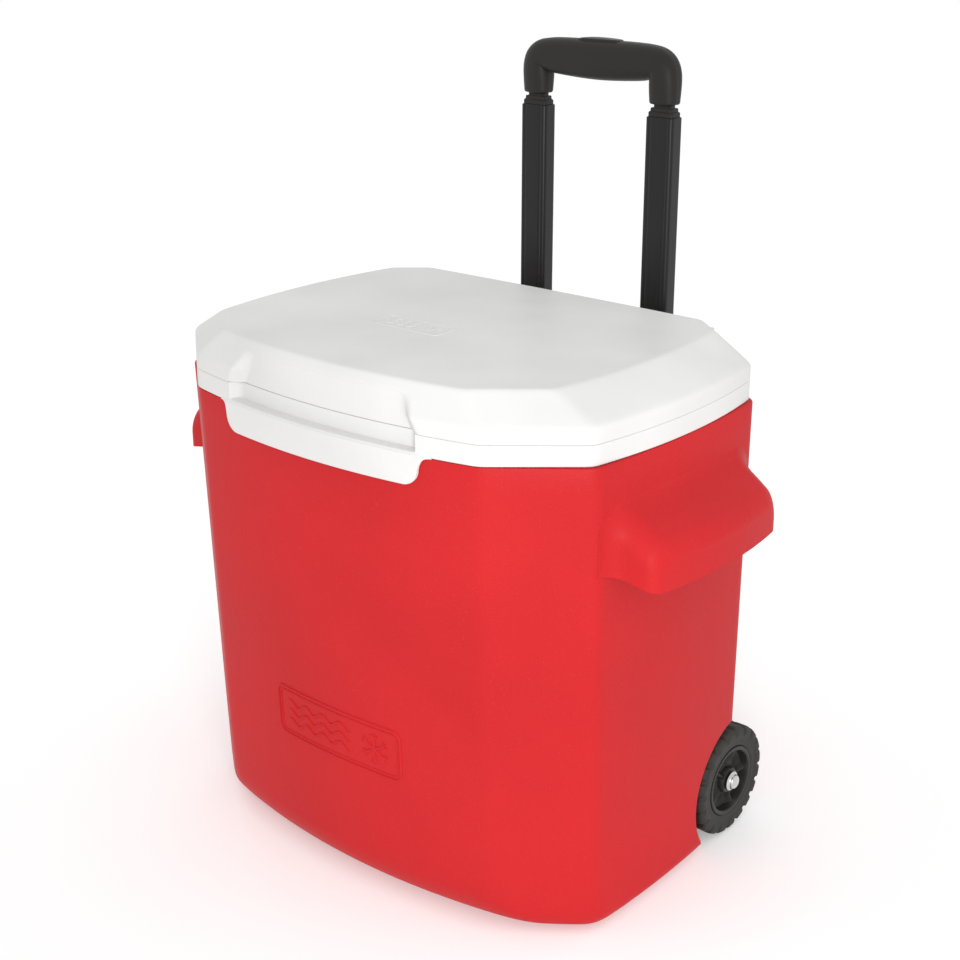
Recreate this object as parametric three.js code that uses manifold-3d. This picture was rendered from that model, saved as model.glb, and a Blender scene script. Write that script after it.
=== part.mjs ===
// Cooler on wheels: an insulated tub with a hinged lid, moulded side handles, two wheels on a through axle
// and a two-stage pull handle behind. Millimetres, +Z up, front towards -Y, standing on the floor at z = 0.
import * as THREE from "three";
import Module from "manifold-3d";
import { mergeVertices } from "three/addons/utils/BufferGeometryUtils.js";

const wasm = await Module();
wasm.setup();

// ---------------------------------------------------------------- driving dimensions
const GAP = 0.3; // between pieces that touch
const FAR = 600; // longer than anything that a cutter crosses
const ROUND = 12; // facets round a small cylinder

// Plan outline at the rim: four bowed faces joined by four straight corner chamfers.
const HALF_WIDTH = 200; // centre to a chamfer's corner on the side
const HALF_DEPTH = 148; // centre to a chamfer's corner on the front or back
const CHAMFER_X = 59;
const CHAMFER_Y = 49;
const FRONT_BOW = 17.3;
const SIDE_BOW = 9.5;
const BACK_BOW = 2;

// Tub
const RIM_Z = 376;
const WALL = 3;
const LID_OVERHANG = 0.6; // the tub stands this far inside the lid's edge
const FRONT_DRAFT = 13.5;
const SIDE_DRAFT = 2.5;
const BACK_DRAFT = 2;
const CHAMFER_DRAFT = 11; // of the front chamfers: the rear ones are upright
const FRONT_FILLET = 38;
const CHAMFER_FILLET = 11;
const SIDE_FILLET = 16;
const BACK_FILLET = 7;
const TILT_CUT_Z = 60; // the rear of the underside rises to this height, so that the tub can tilt
const TILT_CUT_RUN = 66;

// Liner and insulation
const LINER_WALL = 2.5;
const LINER_INSET = 26;
const LINER_FLOOR_Z = 30;
const LINER_DRAFT = 4;
const RIM_FLANGE = 3;
const INSULATION = 12; // least foam over a wheel well or the axle channel

// Side handles
const HOOD_REACH = 240; // centre of the tub to the handle's outer face at its ends
const HOOD_BOW = 8;
const HOOD_HALF_LENGTH = 74;
const HOOD_FACE_TOP = 61; // these three are measured down from the rim
const HOOD_FACE_BOTTOM = 84;
const HOOD_ROOT_TOP = 20;
const HOOD_WALL = 6;

// Lid
const BAND_HEIGHT = 15.7;
const LID_SIDE_HEIGHT = 29;
const LID_HEIGHT = 48;
const LID_CROWN = 2;
const BEVEL = { front: 15, side: 34, back: 28, chamfer: 22, rear: 22 };
const LID_FLOOR = 2.7;
const PLUG_DEPTH = 12;
const PLUG_CLEARANCE = 2.5;

// Finger tab and its recess
const TAB_HALF_WIDTH = 106;
const TAB_DROP = 21.5;
const TAB_PROUD = 2.2;
const TAB_CORNER = 12;
const TAB_FLARE = 10;
const RECESS_HALF_WIDTH = 93;
const RECESS_DEPTH = 8;
const RECESS_CORNER = 9;

// Lid hinges
const HINGE_X = 119;
const HINGE_Y = 147;
const HINGE_RISE = 30; // above the rim
const HINGE_ARM = 12;
const HINGE_PIN_RADIUS = 2;
const HINGE_EYE_RADIUS = 5;
const HINGE_PLATE_DROP = 36;

// Wheels and axle
const WHEEL_RADIUS = 46.8;
const WHEEL_WIDTH = 32;
const WHEEL_Y = 102.5;
const WHEEL_OUTER_X = 203;
const WHEEL_CLEARANCE = 10;
const LUGS = 20;
const LUG_DEPTH = 2.2;
const HUB_RADIUS = 30;
const AXLE_RADIUS = 4;
const AXLE_PLAY = 0.15;
const SPOKES = 5;

// Pull handle: fixed tubes, middle tubes and inner tubes, all rounded rectangles
const TUBE_X = 63.5;
const TUBE_Y = 173;
const FIXED_TUBE = { width: 33, depth: 23, wall: 1.5 };
const MID_TUBE = { width: 26, depth: 16, wall: 1.2 };
const INNER_TUBE = { width: 16, depth: 10, wall: 1.2 };
const FIXED_TOP = -5; // the rest of the heights are measured up from the rim
const FIXED_BOTTOM_Z = 96; // above the floor
const MID_TOP = 190;
const MID_LENGTH = 280;
const COLLAR_HEIGHT = 7;
const GRIP_BOTTOM = 200;
const GRIP_TOP = 246;
const GRIP_BAR = 28;
const GRIP_HALF_WIDTH = 77;
const GRIP_DEPTH = 24;
const INNER_LENGTH = 292;
const BUTTON = { length: 42, width: 12, proud: 1.6, travel: 4 };
const ROD_RADIUS = 1.5;

// Blocks that hold the fixed tubes, and their screws
const BLOCK_WALL = 4.5; // material behind and beside the tubes
const BLOCK_EAR = 13;
const EAR_THICKNESS = 6;
const GUIDE_HEIGHT = 40;
const FOOT_HEIGHT = 28;
const SCREW_RADIUS = 2;
const SCREW_HEAD = 4;
const SCREW_LENGTH = 16;

// Moulded emblem panels
const BADGE_WIDTH = 128;
const BADGE_HEIGHT = 42;
const BADGE_X = 6;
const BADGE_Z = 131;

const PARTING_Z = RIM_Z + BAND_HEIGHT;
const HINGE_Z = RIM_Z + HINGE_RISE;
const WELL_RADIUS = WHEEL_RADIUS + WHEEL_CLEARANCE;
const WELL_X = WHEEL_OUTER_X - WHEEL_WIDTH - 7;
const REAR_Y = HALF_DEPTH + BACK_BOW;
const BLOCK_FRONT_Y = REAR_Y + GAP;
const BLOCK_REAR_Y = TUBE_Y + FIXED_TUBE.depth / 2 + BLOCK_WALL;
const BLOCK_HALF_WIDTH = TUBE_X + FIXED_TUBE.width / 2 + BLOCK_WALL;
const SHEAR = (BEVEL.front - RECESS_DEPTH) / (LID_HEIGHT - BAND_HEIGHT);

// ---------------------------------------------------------------- solids from three.js geometry
function solid(geometry) {
  const bare = geometry.clone();
  bare.deleteAttribute("normal");
  bare.deleteAttribute("uv");
  const merged = mergeVertices(bare, 1e-4);
  return new wasm.Manifold(
    new wasm.Mesh({
      numProp: 3,
      vertProperties: merged.attributes.position.array,
      triVerts: new Uint32Array(merged.index.array),
    }),
  );
}

const join = (first, ...rest) => rest.reduce((sum, next) => sum.add(next), first);
const cut = (first, ...rest) => rest.reduce((left, next) => left.subtract(next), first);

function geometryOf(made) {
  const { numProp, numVert, vertProperties, triVerts } = made.getMesh();
  const position = new Float32Array(numVert * 3);
  for (let i = 0; i < numVert; i++) {
    position.set(vertProperties.subarray(i * numProp, i * numProp + 3), i * 3);
  }
  const geometry = new THREE.BufferGeometry();
  geometry.setAttribute("position", new THREE.BufferAttribute(position, 3));
  geometry.setIndex(new THREE.BufferAttribute(triVerts, 1));
  const flat = geometry.toNonIndexed();
  flat.computeVertexNormals();
  return flat;
}

function box(x0, x1, y0, y1, z0, z1) {
  const made = new THREE.BoxGeometry(x1 - x0, y1 - y0, z1 - z0);
  return solid(made.translate((x0 + x1) / 2, (y0 + y1) / 2, (z0 + z1) / 2));
}

const below = (z) => box(-FAR, FAR, -FAR, FAR, -FAR, z);
const above = (z) => box(-FAR, FAR, -FAR, FAR, z, FAR + z);

function rod(axis, radius, length, centre, sides = ROUND) {
  const made = new THREE.CylinderGeometry(radius, radius, length, sides);
  if (axis === "x") made.rotateZ(Math.PI / 2);
  if (axis === "z") made.rotateX(Math.PI / 2);
  return solid(made.translate(...centre));
}

// A closed skin over rings of points, each ring counter-clockwise seen from the ring after it.
function loft(rings) {
  const count = rings[0].length;
  const points = rings.flat();
  const index = [];
  for (let ring = 0; ring + 1 < rings.length; ring++) {
    for (let i = 0; i < count; i++) {
      const a = ring * count + i;
      const b = ring * count + ((i + 1) % count);
      index.push(a, b, b + count, a, b + count, a + count);
    }
  }
  const middle = (ring) => ring.reduce((sum, p) => sum.add(p), new THREE.Vector3()).divideScalar(count);
  const last = (rings.length - 1) * count;
  points.push(middle(rings[0]), middle(rings.at(-1)));
  for (let i = 0; i < count; i++) {
    const next = (i + 1) % count;
    index.push(points.length - 2, next, i);
    index.push(points.length - 1, last + i, last + next);
  }
  const geometry = new THREE.BufferGeometry().setFromPoints(points);
  geometry.setIndex(index);
  return solid(geometry);
}

function roundedRectangle(width, depth, radius) {
  const x = width / 2;
  const y = depth / 2;
  const shape = new THREE.Shape();
  shape.moveTo(-x + radius, -y);
  shape.lineTo(x - radius, -y);
  shape.absarc(x - radius, -y + radius, radius, -Math.PI / 2, 0);
  shape.lineTo(x, y - radius);
  shape.absarc(x - radius, y - radius, radius, 0, Math.PI / 2);
  shape.lineTo(-x + radius, y);
  shape.absarc(-x + radius, y - radius, radius, Math.PI / 2, Math.PI);
  shape.lineTo(-x, -y + radius);
  shape.absarc(-x + radius, -y + radius, radius, Math.PI, Math.PI * 1.5);
  return shape;
}

// An upright prism of a plan shape between two heights.
function prism(shape, z0, z1, segments = 2) {
  const options = { depth: z1 - z0, bevelEnabled: false, curveSegments: segments };
  return solid(new THREE.ExtrudeGeometry(shape, options).translate(0, 0, z0));
}

function bar({ width, depth }, grow, x, y, z0, z1, radius = 3) {
  const shape = roundedRectangle(width + 2 * grow, depth + 2 * grow, Math.max(0.8, radius + grow));
  return prism(shape, z0, z1).translate([x, y, 0]);
}

// ---------------------------------------------------------------- plan outline
const even = (inset) => ({ front: inset, side: inset, back: inset, chamfer: inset, rear: inset });
const plus = (a, b) => ({
  front: a.front + b.front,
  side: a.side + b.side,
  back: a.back + b.back,
  chamfer: a.chamfer + b.chamfer,
  rear: a.rear + b.rear,
});

const FACES = {
  front: { corner: HALF_WIDTH - CHAMFER_X, reach: HALF_DEPTH, bow: FRONT_BOW, run: CHAMFER_Y, rise: CHAMFER_X },
  back: { corner: HALF_WIDTH - CHAMFER_X, reach: HALF_DEPTH, bow: BACK_BOW, run: CHAMFER_Y, rise: CHAMFER_X },
  side: { corner: HALF_DEPTH - CHAMFER_Y, reach: HALF_WIDTH, bow: SIDE_BOW, run: CHAMFER_X, rise: CHAMFER_Y },
};

// How far a face stands from the centre, at a distance u along it.
function faceAt(face, inset, u) {
  return face.reach + face.bow * (1 - (u / face.corner) ** 2) - inset;
}

// Where a face's bow meets the chamfer line: the near root of a quadratic in u.
function cornerOf(face, inset, chamferInset) {
  const length = Math.hypot(face.run, face.rise);
  const along = face.run / length;
  const across = face.rise / length;
  const line = along * face.corner + across * face.reach - chamferInset;
  const square = (across * face.bow) / face.corner ** 2;
  const rest = line - across * faceAt(face, inset, 0);
  return (2 * rest) / (along + Math.sqrt(along ** 2 - 4 * square * rest));
}

function planRing(z, insets) {
  const ring = [];
  const sweep = (face, inset, from, to, steps, place) => {
    const start = -cornerOf(face, inset, from);
    const end = cornerOf(face, inset, to);
    for (let i = 0; i <= steps; i++) {
      const u = start + (end - start) * (i / steps);
      ring.push(place(u, faceAt(face, inset, u)));
    }
  };
  const { front, side, back, chamfer, rear } = insets;
  sweep(FACES.front, front, chamfer, chamfer, 8, (u, reach) => new THREE.Vector3(u, -reach, z));
  sweep(FACES.side, side, chamfer, rear, 6, (u, reach) => new THREE.Vector3(reach, u, z));
  sweep(FACES.back, back, rear, rear, 2, (u, reach) => new THREE.Vector3(-u, reach, z));
  sweep(FACES.side, side, rear, chamfer, 6, (u, reach) => new THREE.Vector3(-reach, -u, z));
  return ring;
}

// ---------------------------------------------------------------- tub
const filletInset = (height, radius) =>
  height < radius ? radius - Math.sqrt(radius ** 2 - (radius - height) ** 2) : 0;

// The tub's insets at a height above its underside.
function tubInsets(height) {
  const drafted = 1 - height / RIM_Z;
  return {
    front: LID_OVERHANG + FRONT_DRAFT * drafted + filletInset(height, FRONT_FILLET),
    side: LID_OVERHANG + SIDE_DRAFT * drafted + filletInset(height, SIDE_FILLET),
    back: LID_OVERHANG + BACK_DRAFT * drafted + filletInset(height, BACK_FILLET),
    chamfer: LID_OVERHANG + CHAMFER_DRAFT * drafted + filletInset(height, CHAMFER_FILLET),
    rear: LID_OVERHANG + filletInset(height, SIDE_FILLET),
  };
}

// The space of one wheel, open to the side, the rear and the floor.
function wheelWell(side, grow) {
  const radius = WELL_RADIUS + grow;
  const inner = WELL_X - grow;
  const round = rod("x", radius, FAR, [inner + FAR / 2, WHEEL_Y, WHEEL_RADIUS], 24);
  const rear = box(inner, inner + FAR, WHEEL_Y, WHEEL_Y + FAR, -FAR, WHEEL_RADIUS);
  const open = join(round, rear);
  return side > 0 ? open : open.mirror([1, 0, 0]);
}

// The slot under the tub that the axle lies in.
function axleChannel(grow) {
  const half = AXLE_RADIUS + 2 + grow;
  const end = WELL_X - 2 * WALL - 2 + grow;
  return box(-end, end, WHEEL_Y - half, WHEEL_Y + half, -FAR, WHEEL_RADIUS + half);
}

// The wedge that the underside leaves free behind the wheels.
function tiltCut(grow) {
  const rear = REAR_Y - BACK_DRAFT - LID_OVERHANG;
  const slope = Math.atan2(TILT_CUT_Z, TILT_CUT_RUN);
  const lift = grow / Math.cos(slope);
  const wedge = new THREE.Shape();
  wedge.moveTo(rear - TILT_CUT_RUN - FAR, -FAR * Math.tan(slope) + lift);
  wedge.lineTo(rear + FAR, -FAR * Math.tan(slope) + lift - FAR);
  wedge.lineTo(rear + FAR, TILT_CUT_Z + FAR * Math.tan(slope) + lift);
  const made = new THREE.ExtrudeGeometry(wedge, { depth: 2 * FAR, bevelEnabled: false });
  made.rotateX(Math.PI / 2);
  made.rotateZ(Math.PI / 2);
  return solid(made.translate(-FAR, 0, 0));
}

// The tub's outer body, shrunk by an inset and carried up to a height.
function tubBody(inset, top) {
  const heights = [0, 0.04, 0.13, 0.26, 0.45, 1].map((share) => share * FRONT_FILLET).concat(RIM_Z);
  const rings = heights.map((height) => planRing(height + inset, plus(tubInsets(height), even(inset))));
  rings.push(planRing(RIM_Z + FAR, plus(tubInsets(RIM_Z), even(inset))));
  const full = loft(rings).intersect(below(top));
  return cut(full, wheelWell(1, inset), wheelWell(-1, inset), axleChannel(inset), tiltCut(inset));
}

// A side handle is a hood: rings of rounded outline, from inside the tub's wall to the outer face.
function hoodRing(x, bow, half, top, bottom, radius) {
  const ring = [];
  const put = (y, z) => ring.push(new THREE.Vector3(x + bow * (1 - (y / half) ** 2), y, z));
  for (let i = 0; i <= 6; i++) put(half * (i / 3 - 1), bottom);
  for (let i = 0; i <= 3; i++) {
    const turn = (i / 3) * (Math.PI / 2);
    put(half - radius + radius * Math.cos(turn), top - radius + radius * Math.sin(turn));
  }
  for (let i = 1; i < 6; i++) put((half - radius) * (1 - i / 3), top);
  for (let i = 3; i >= 0; i--) {
    const turn = (i / 3) * (Math.PI / 2);
    put(-half + radius - radius * Math.cos(turn), top - radius + radius * Math.sin(turn));
  }
  return ring;
}

function sideHood(side) {
  const root = HALF_WIDTH - 6;
  const down = (drop) => RIM_Z - drop;
  const outer = loft([
    hoodRing(root, 0, HOOD_HALF_LENGTH + 21, down(HOOD_ROOT_TOP), down(HOOD_FACE_BOTTOM + 3), 26),
    hoodRing(HOOD_REACH - 4, HOOD_BOW, HOOD_HALF_LENGTH + 5, down(HOOD_FACE_TOP - 4), down(HOOD_FACE_BOTTOM + 3), 12),
    hoodRing(HOOD_REACH, HOOD_BOW, HOOD_HALF_LENGTH, down(HOOD_FACE_TOP), down(HOOD_FACE_BOTTOM), 8),
  ]);
  const hollowTop = HOOD_FACE_TOP + HOOD_WALL;
  const hollow = loft([
    hoodRing(root, 0, HOOD_HALF_LENGTH + 13, down(HOOD_ROOT_TOP + 12), down(HOOD_FACE_BOTTOM + 40), 22),
    hoodRing(HOOD_REACH - HOOD_WALL, HOOD_BOW, HOOD_HALF_LENGTH - 4, down(hollowTop), down(HOOD_FACE_BOTTOM + 40), 6),
  ]);
  const made = cut(outer, hollow);
  return side > 0 ? made : made.mirror([1, 0, 0]);
}

const screwHole = ([x, y, z]) => rod("y", SCREW_RADIUS + GAP, 2 * SCREW_LENGTH, [x, y, z], 8);

// ---------------------------------------------------------------- liner and insulation
function linerBody(grow, top) {
  const inset = LINER_INSET - grow;
  const floor = LINER_FLOOR_Z - grow;
  const tub = loft([
    planRing(floor, even(inset + LINER_DRAFT + 8)),
    planRing(floor + 8, even(inset + LINER_DRAFT)),
    planRing(top, even(inset)),
  ]);
  const margin = WALL + INSULATION - grow;
  const step = WHEEL_RADIUS + AXLE_RADIUS + 2 + margin;
  const stepFront = WHEEL_Y - AXLE_RADIUS - 12 - margin;
  const shelf = box(-FAR, FAR, stepFront, stepFront + FAR, -FAR, step);
  return cut(tub, shelf, wheelWell(1, margin), wheelWell(-1, margin));
}

function liner() {
  const flange = loft([
    planRing(RIM_Z - RIM_FLANGE, even(LID_OVERHANG + WALL + 2 * GAP)),
    planRing(RIM_Z, even(LID_OVERHANG + WALL + GAP)),
  ]);
  return cut(join(linerBody(0, RIM_Z), flange), linerBody(-LINER_WALL, RIM_Z + 10));
}

function insulation(holes) {
  const top = RIM_Z - RIM_FLANGE - GAP;
  const filled = cut(tubBody(WALL + GAP, top), linerBody(GAP, top + 10), ...holes);
  return filled;
}

// ---------------------------------------------------------------- lid
// Plan shape of the finger recess, round at its rear corners: its rear edge follows the front's bow.
function recessShape(grow) {
  const straight = RECESS_HALF_WIDTH - RECESS_CORNER;
  const radius = RECESS_CORNER + grow;
  const back = (x) => -faceAt(FACES.front, RECESS_DEPTH + grow, x);
  const centre = back(straight) - radius;
  const shape = new THREE.Shape();
  const round = (side, steps) =>
    steps.forEach((step) => {
      const turn = (step / 2) * (Math.PI / 2);
      shape.lineTo(side * (straight + radius * Math.cos(turn)), centre + radius * Math.sin(turn));
    });
  shape.moveTo(-straight - radius, centre - 20);
  shape.lineTo(straight + radius, centre - 20);
  round(1, [0, 1, 2]);
  for (let i = 1; i < 6; i++) {
    const x = straight * (1 - i / 3);
    shape.lineTo(x, back(x));
  }
  round(-1, [2, 1, 0]);
  return shape;
}

// The recess is upright in the band and leans back above it, up to the front crease of the lid's top.
function recess(grow) {
  const shape = recessShape(grow);
  const low = prism(shape, RIM_Z + LID_FLOOR + 0.6 - grow, PARTING_Z + 0.01);
  const tall = new THREE.ExtrudeGeometry(shape, { depth: LID_HEIGHT - BAND_HEIGHT + 4, bevelEnabled: false });
  const lean = new THREE.Matrix4().set(1, 0, 0, 0, 0, 1, SHEAR, 0, 0, 0, 1, PARTING_Z, 0, 0, 0, 1);
  return join(low, solid(tall.applyMatrix4(lean)));
}

function lidBody(inset, bottom) {
  const rounding = { front: 2, side: 1.5, back: 1.5, chamfer: 1.5, rear: 1.5 };
  const rings = [
    planRing(bottom, even(inset)),
    planRing(RIM_Z + LID_SIDE_HEIGHT - 3, even(inset)),
    planRing(RIM_Z + LID_SIDE_HEIGHT, plus(rounding, even(inset))),
    planRing(RIM_Z + LID_HEIGHT - inset, plus(BEVEL, even(inset))),
    planRing(RIM_Z + LID_HEIGHT + LID_CROWN * 0.7 - inset, plus(BEVEL, even(inset + 55))),
    planRing(RIM_Z + LID_HEIGHT + LID_CROWN - inset, plus(BEVEL, even(inset + 90))),
  ];
  return cut(loft(rings), recess(inset));
}

function plug(inset, bottom, top) {
  const insets = even(LINER_INSET + LINER_WALL + PLUG_CLEARANCE + inset);
  return loft([planRing(bottom, insets), planRing(top, insets)]);
}

// How far the tab hangs below the rim, at a distance u from its middle.
function tabDrop(u) {
  const straight = TAB_HALF_WIDTH - TAB_FLARE - TAB_CORNER;
  const upper = TAB_DROP - TAB_CORNER;
  const turned = Math.min(1, Math.max(0, (u - straight) / TAB_CORNER));
  const flared = Math.max(0, (u - straight - TAB_CORNER) / TAB_FLARE);
  return upper + TAB_CORNER * Math.sqrt(1 - turned ** 2) - (upper - 2 * GAP) * flared;
}

// The tab follows the front's bow, from inside the band down over the tub.
function tab() {
  const straight = TAB_HALF_WIDTH - TAB_FLARE - TAB_CORNER;
  const right = [1 / 3, 2 / 3, 1].map((share) => share * straight);
  right.push(...[0.5, 0.87, 1].map((share) => straight + share * TAB_CORNER));
  right.push(TAB_HALF_WIDTH - TAB_FLARE / 2, TAB_HALF_WIDTH);
  const columns = [...right.map((x) => -x).reverse(), 0, ...right];
  const low = RIM_Z + GAP / 2;
  const high = RIM_Z + 2.5;
  return loft(
    columns.map((x) => {
      const drop = tabDrop(Math.abs(x));
      const tubFace = (down) => -faceAt(FACES.front, LID_OVERHANG + (FRONT_DRAFT * down) / RIM_Z, x);
      const proud = (amount) => -faceAt(FACES.front, -amount, x);
      return [
        [tubFace(drop) - 2 * GAP, RIM_Z - drop],
        [tubFace(0) - 1.2 * GAP, low],
        [tubFace(0) + 1.6, high],
        [proud(-1), high],
        [proud(TAB_PROUD * 0.35), low],
        [proud(TAB_PROUD * 0.8), RIM_Z - 0.3 * drop],
        [proud(TAB_PROUD), RIM_Z - drop],
      ].map(([y, z]) => new THREE.Vector3(x, y, z));
    }),
  );
}

function hingeNotch(side, half, floor, top, front) {
  const x = side * HINGE_X;
  return box(x - half, x + half, front, REAR_Y + 20, floor, top);
}

const CLEVIS_HALF = HINGE_ARM / 2 + 9;
const notchesFor = (grow) =>
  [-1, 1].flatMap((side) => [
    hingeNotch(side, HINGE_ARM / 2 + 1, RIM_Z - 1, HINGE_Z + 12, HINGE_Y - HINGE_EYE_RADIUS - 2),
    hingeNotch(side, CLEVIS_HALF + grow, PARTING_Z + 1, HINGE_Z + 12, HINGE_Y - HINGE_EYE_RADIUS - 3 - grow),
  ]);

function lidShell() {
  const hollow = lidBody(WALL, RIM_Z + LID_FLOOR + GAP);
  return cut(lidBody(0, RIM_Z + GAP), hollow, ...notchesFor(GAP));
}

function lidLowerShell() {
  const band = lidShell().intersect(below(PARTING_Z));
  const bottom = RIM_Z - PLUG_DEPTH;
  const seated = join(band, plug(0, bottom, RIM_Z + 1), tab());
  return cut(seated, plug(LINER_WALL, bottom + LINER_WALL, RIM_Z + 10), recess(0));
}

function lidUpperShell() {
  return lidShell().intersect(above(PARTING_Z + GAP));
}

function lidFoam() {
  const core = cut(lidBody(WALL + 2 * GAP, RIM_Z + LID_FLOOR + 2 * GAP), ...notchesFor(WALL));
  const lower = plug(LINER_WALL + GAP, RIM_Z - PLUG_DEPTH + LINER_WALL + GAP, RIM_Z + 6);
  return join(core, cut(lower, recess(WALL + 2 * GAP)));
}

// A clevis in the lid's rear corner carries the pin on both sides of the tub's hinge arm.
function lidClevis(side) {
  const x = side * HINGE_X;
  const floor = PARTING_Z + 1 + GAP;
  const front = HINGE_Y - HINGE_EYE_RADIUS - 3;
  const top = HINGE_Z + HINGE_EYE_RADIUS - 1;
  const block = box(x - CLEVIS_HALF, x + CLEVIS_HALF, front, HINGE_Y + 3, floor, top);
  const slot = box(x - HINGE_ARM / 2 - 1, x + HINGE_ARM / 2 + 1, front + 3, HINGE_Y + 9, floor - 1, top + 1);
  const bore = rod("x", HINGE_PIN_RADIUS + 0.1, FAR, [x, HINGE_Y, HINGE_Z]);
  return cut(block, slot, bore);
}

function hingeBracket(side) {
  const x = side * HINGE_X;
  const rear = REAR_Y + GAP;
  const half = HINGE_ARM / 2;
  const plate = box(x - 16, x + 16, rear, rear + 3, RIM_Z - HINGE_PLATE_DROP, RIM_Z - 2);
  const arm = box(x - half, x + half, rear, HINGE_Y + HINGE_EYE_RADIUS + 1, RIM_Z - 30, HINGE_Z);
  const eye = rod("x", HINGE_EYE_RADIUS, HINGE_ARM, [x, HINGE_Y, HINGE_Z]);
  const bore = rod("x", HINGE_PIN_RADIUS + GAP / 2, FAR, [x, HINGE_Y, HINGE_Z]);
  return cut(join(plate, arm, eye), bore, ...hingeScrewPlaces(side).map(screwHole));
}

const hingeScrewPlaces = (side) =>
  [-11, 11].map((across) => [side * HINGE_X + across, REAR_Y + GAP + 3, RIM_Z - HINGE_PLATE_DROP / 2 - 8]);

// ---------------------------------------------------------------- screws and blocks
// A screw driven forwards, its pan head on the face at the given place.
function screw([x, y, z]) {
  const head = rod("y", SCREW_HEAD, 2.2, [x, y + GAP + 1.1, z], 10);
  const shank = rod("y", SCREW_RADIUS, SCREW_LENGTH, [x, y + GAP - SCREW_LENGTH / 2 + 0.1, z], 8);
  return join(head, shank);
}

const blockScrewPlaces = (middleZ) =>
  [-1, 1].map((side) => [side * (BLOCK_HALF_WIDTH + BLOCK_EAR / 2), BLOCK_FRONT_Y + EAR_THICKNESS, middleZ]);
const GUIDE_Z = [RIM_Z - 8 - GUIDE_HEIGHT, RIM_Z - 8];
const FOOT_Z = [FIXED_BOTTOM_Z - 3, FIXED_BOTTOM_Z - 3 + FOOT_HEIGHT];
const middleOf = ([low, high]) => (low + high) / 2;
const BLOCK_SCREWS = [...blockScrewPlaces(middleOf(GUIDE_Z)), ...blockScrewPlaces(middleOf(FOOT_Z))];
const HINGE_SCREWS = [...hingeScrewPlaces(-1), ...hingeScrewPlaces(1)];

// Both blocks have a deep middle round the tubes and thin ears for the screws.
function block([low, high], socketFloor) {
  const front = BLOCK_FRONT_Y + 2;
  const outline = roundedRectangle(2 * BLOCK_HALF_WIDTH, BLOCK_REAR_Y - front, 3);
  const middle = prism(outline, low, high).translate([0, (front + BLOCK_REAR_Y) / 2, 0]);
  const ear = BLOCK_HALF_WIDTH + BLOCK_EAR;
  const ears = box(-ear, ear, BLOCK_FRONT_Y, BLOCK_FRONT_Y + EAR_THICKNESS, low, high);
  const sockets = [-1, 1].map((side) => bar(FIXED_TUBE, GAP, side * TUBE_X, TUBE_Y, socketFloor, high + 1));
  const between = TUBE_X - FIXED_TUBE.width / 2 - 2 * BLOCK_WALL;
  const window = box(-between, between, BLOCK_FRONT_Y + 10, BLOCK_REAR_Y + 1, low - 1, high - 8);
  const holes = blockScrewPlaces(middleOf([low, high])).map(screwHole);
  return cut(join(middle, ears), ...sockets, ...holes, window);
}

// ---------------------------------------------------------------- wheels
function tyre() {
  const outline = new THREE.Shape();
  for (let i = 0; i < LUGS; i++) {
    const at = (share, radius) => {
      const turn = ((i + share) / LUGS) * Math.PI * 2;
      return [radius * Math.cos(turn), radius * Math.sin(turn)];
    };
    if (i === 0) outline.moveTo(...at(0, WHEEL_RADIUS));
    else outline.lineTo(...at(0, WHEEL_RADIUS));
    outline.lineTo(...at(0.62, WHEEL_RADIUS));
    outline.lineTo(...at(0.72, WHEEL_RADIUS - LUG_DEPTH));
    outline.lineTo(...at(0.9, WHEEL_RADIUS - LUG_DEPTH));
  }
  const ring = prism(outline, -WHEEL_WIDTH / 2, WHEEL_WIDTH / 2);
  const bore = rod("z", HUB_RADIUS + GAP, WHEEL_WIDTH + 2, [0, 0, 0], 24);
  return cut(ring, bore);
}

function hub() {
  const half = WHEEL_WIDTH / 2;
  const web = rod("z", HUB_RADIUS, WHEEL_WIDTH - 3, [0, 0, 0], 24);
  const dish = cut(
    rod("z", HUB_RADIUS - 3, 12, [0, 0, half - 1.5], 24),
    rod("z", 10, 14, [0, 0, half - 1.5]),
  );
  const bore = rod("z", AXLE_RADIUS + AXLE_PLAY, WHEEL_WIDTH + 2, [0, 0, 0], 20);
  const windows = [];
  for (let i = 0; i < SPOKES; i++) {
    const turn = ((i + 0.5) / SPOKES) * Math.PI * 2;
    windows.push(rod("z", 5.5, WHEEL_WIDTH + 2, [18.2 * Math.cos(turn), 18.2 * Math.sin(turn), 0], 8));
  }
  return cut(web, dish, bore, ...windows);
}

// Wheel pieces are made about the Z axis, face up, and turned to face outwards.
function onAxle(made, side, x) {
  return made.rotate([0, side * 90, 0]).translate([side * x, WHEEL_Y, WHEEL_RADIUS]);
}

function pushNut() {
  const profile = [[AXLE_RADIUS + GAP, 0], [8, 0], [8, 2], [6.6, 4], [AXLE_RADIUS + GAP, 5]];
  const outline = profile.map(([radius, height]) => new THREE.Vector2(radius, height));
  outline.push(outline[0].clone());
  return solid(new THREE.LatheGeometry(outline, ROUND).rotateX(Math.PI / 2));
}

const washer = () => cut(rod("z", 9, 3.4, [0, 0, 0]), rod("z", AXLE_RADIUS + GAP, 5, [0, 0, 0]));

// ---------------------------------------------------------------- pull handle
function tube(section, x, z0, z1) {
  const outside = bar(section, 0, x, TUBE_Y, z0, z1);
  return cut(outside, bar(section, -section.wall, x, TUBE_Y, z0 - 1, z1 + 1));
}

// The cap on a fixed tube, with a lip that guides the middle tube.
function fixedCap(x) {
  const top = RIM_Z + FIXED_TOP;
  const outside = bar(FIXED_TUBE, 2.2, x, TUBE_Y, GUIDE_Z[1] + GAP, top + 3);
  const seat = bar(FIXED_TUBE, GAP, x, TUBE_Y, GUIDE_Z[1] - 1, top + GAP);
  return cut(outside, seat, bar(MID_TUBE, GAP, x, TUBE_Y, top - 9, top + 9));
}

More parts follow.
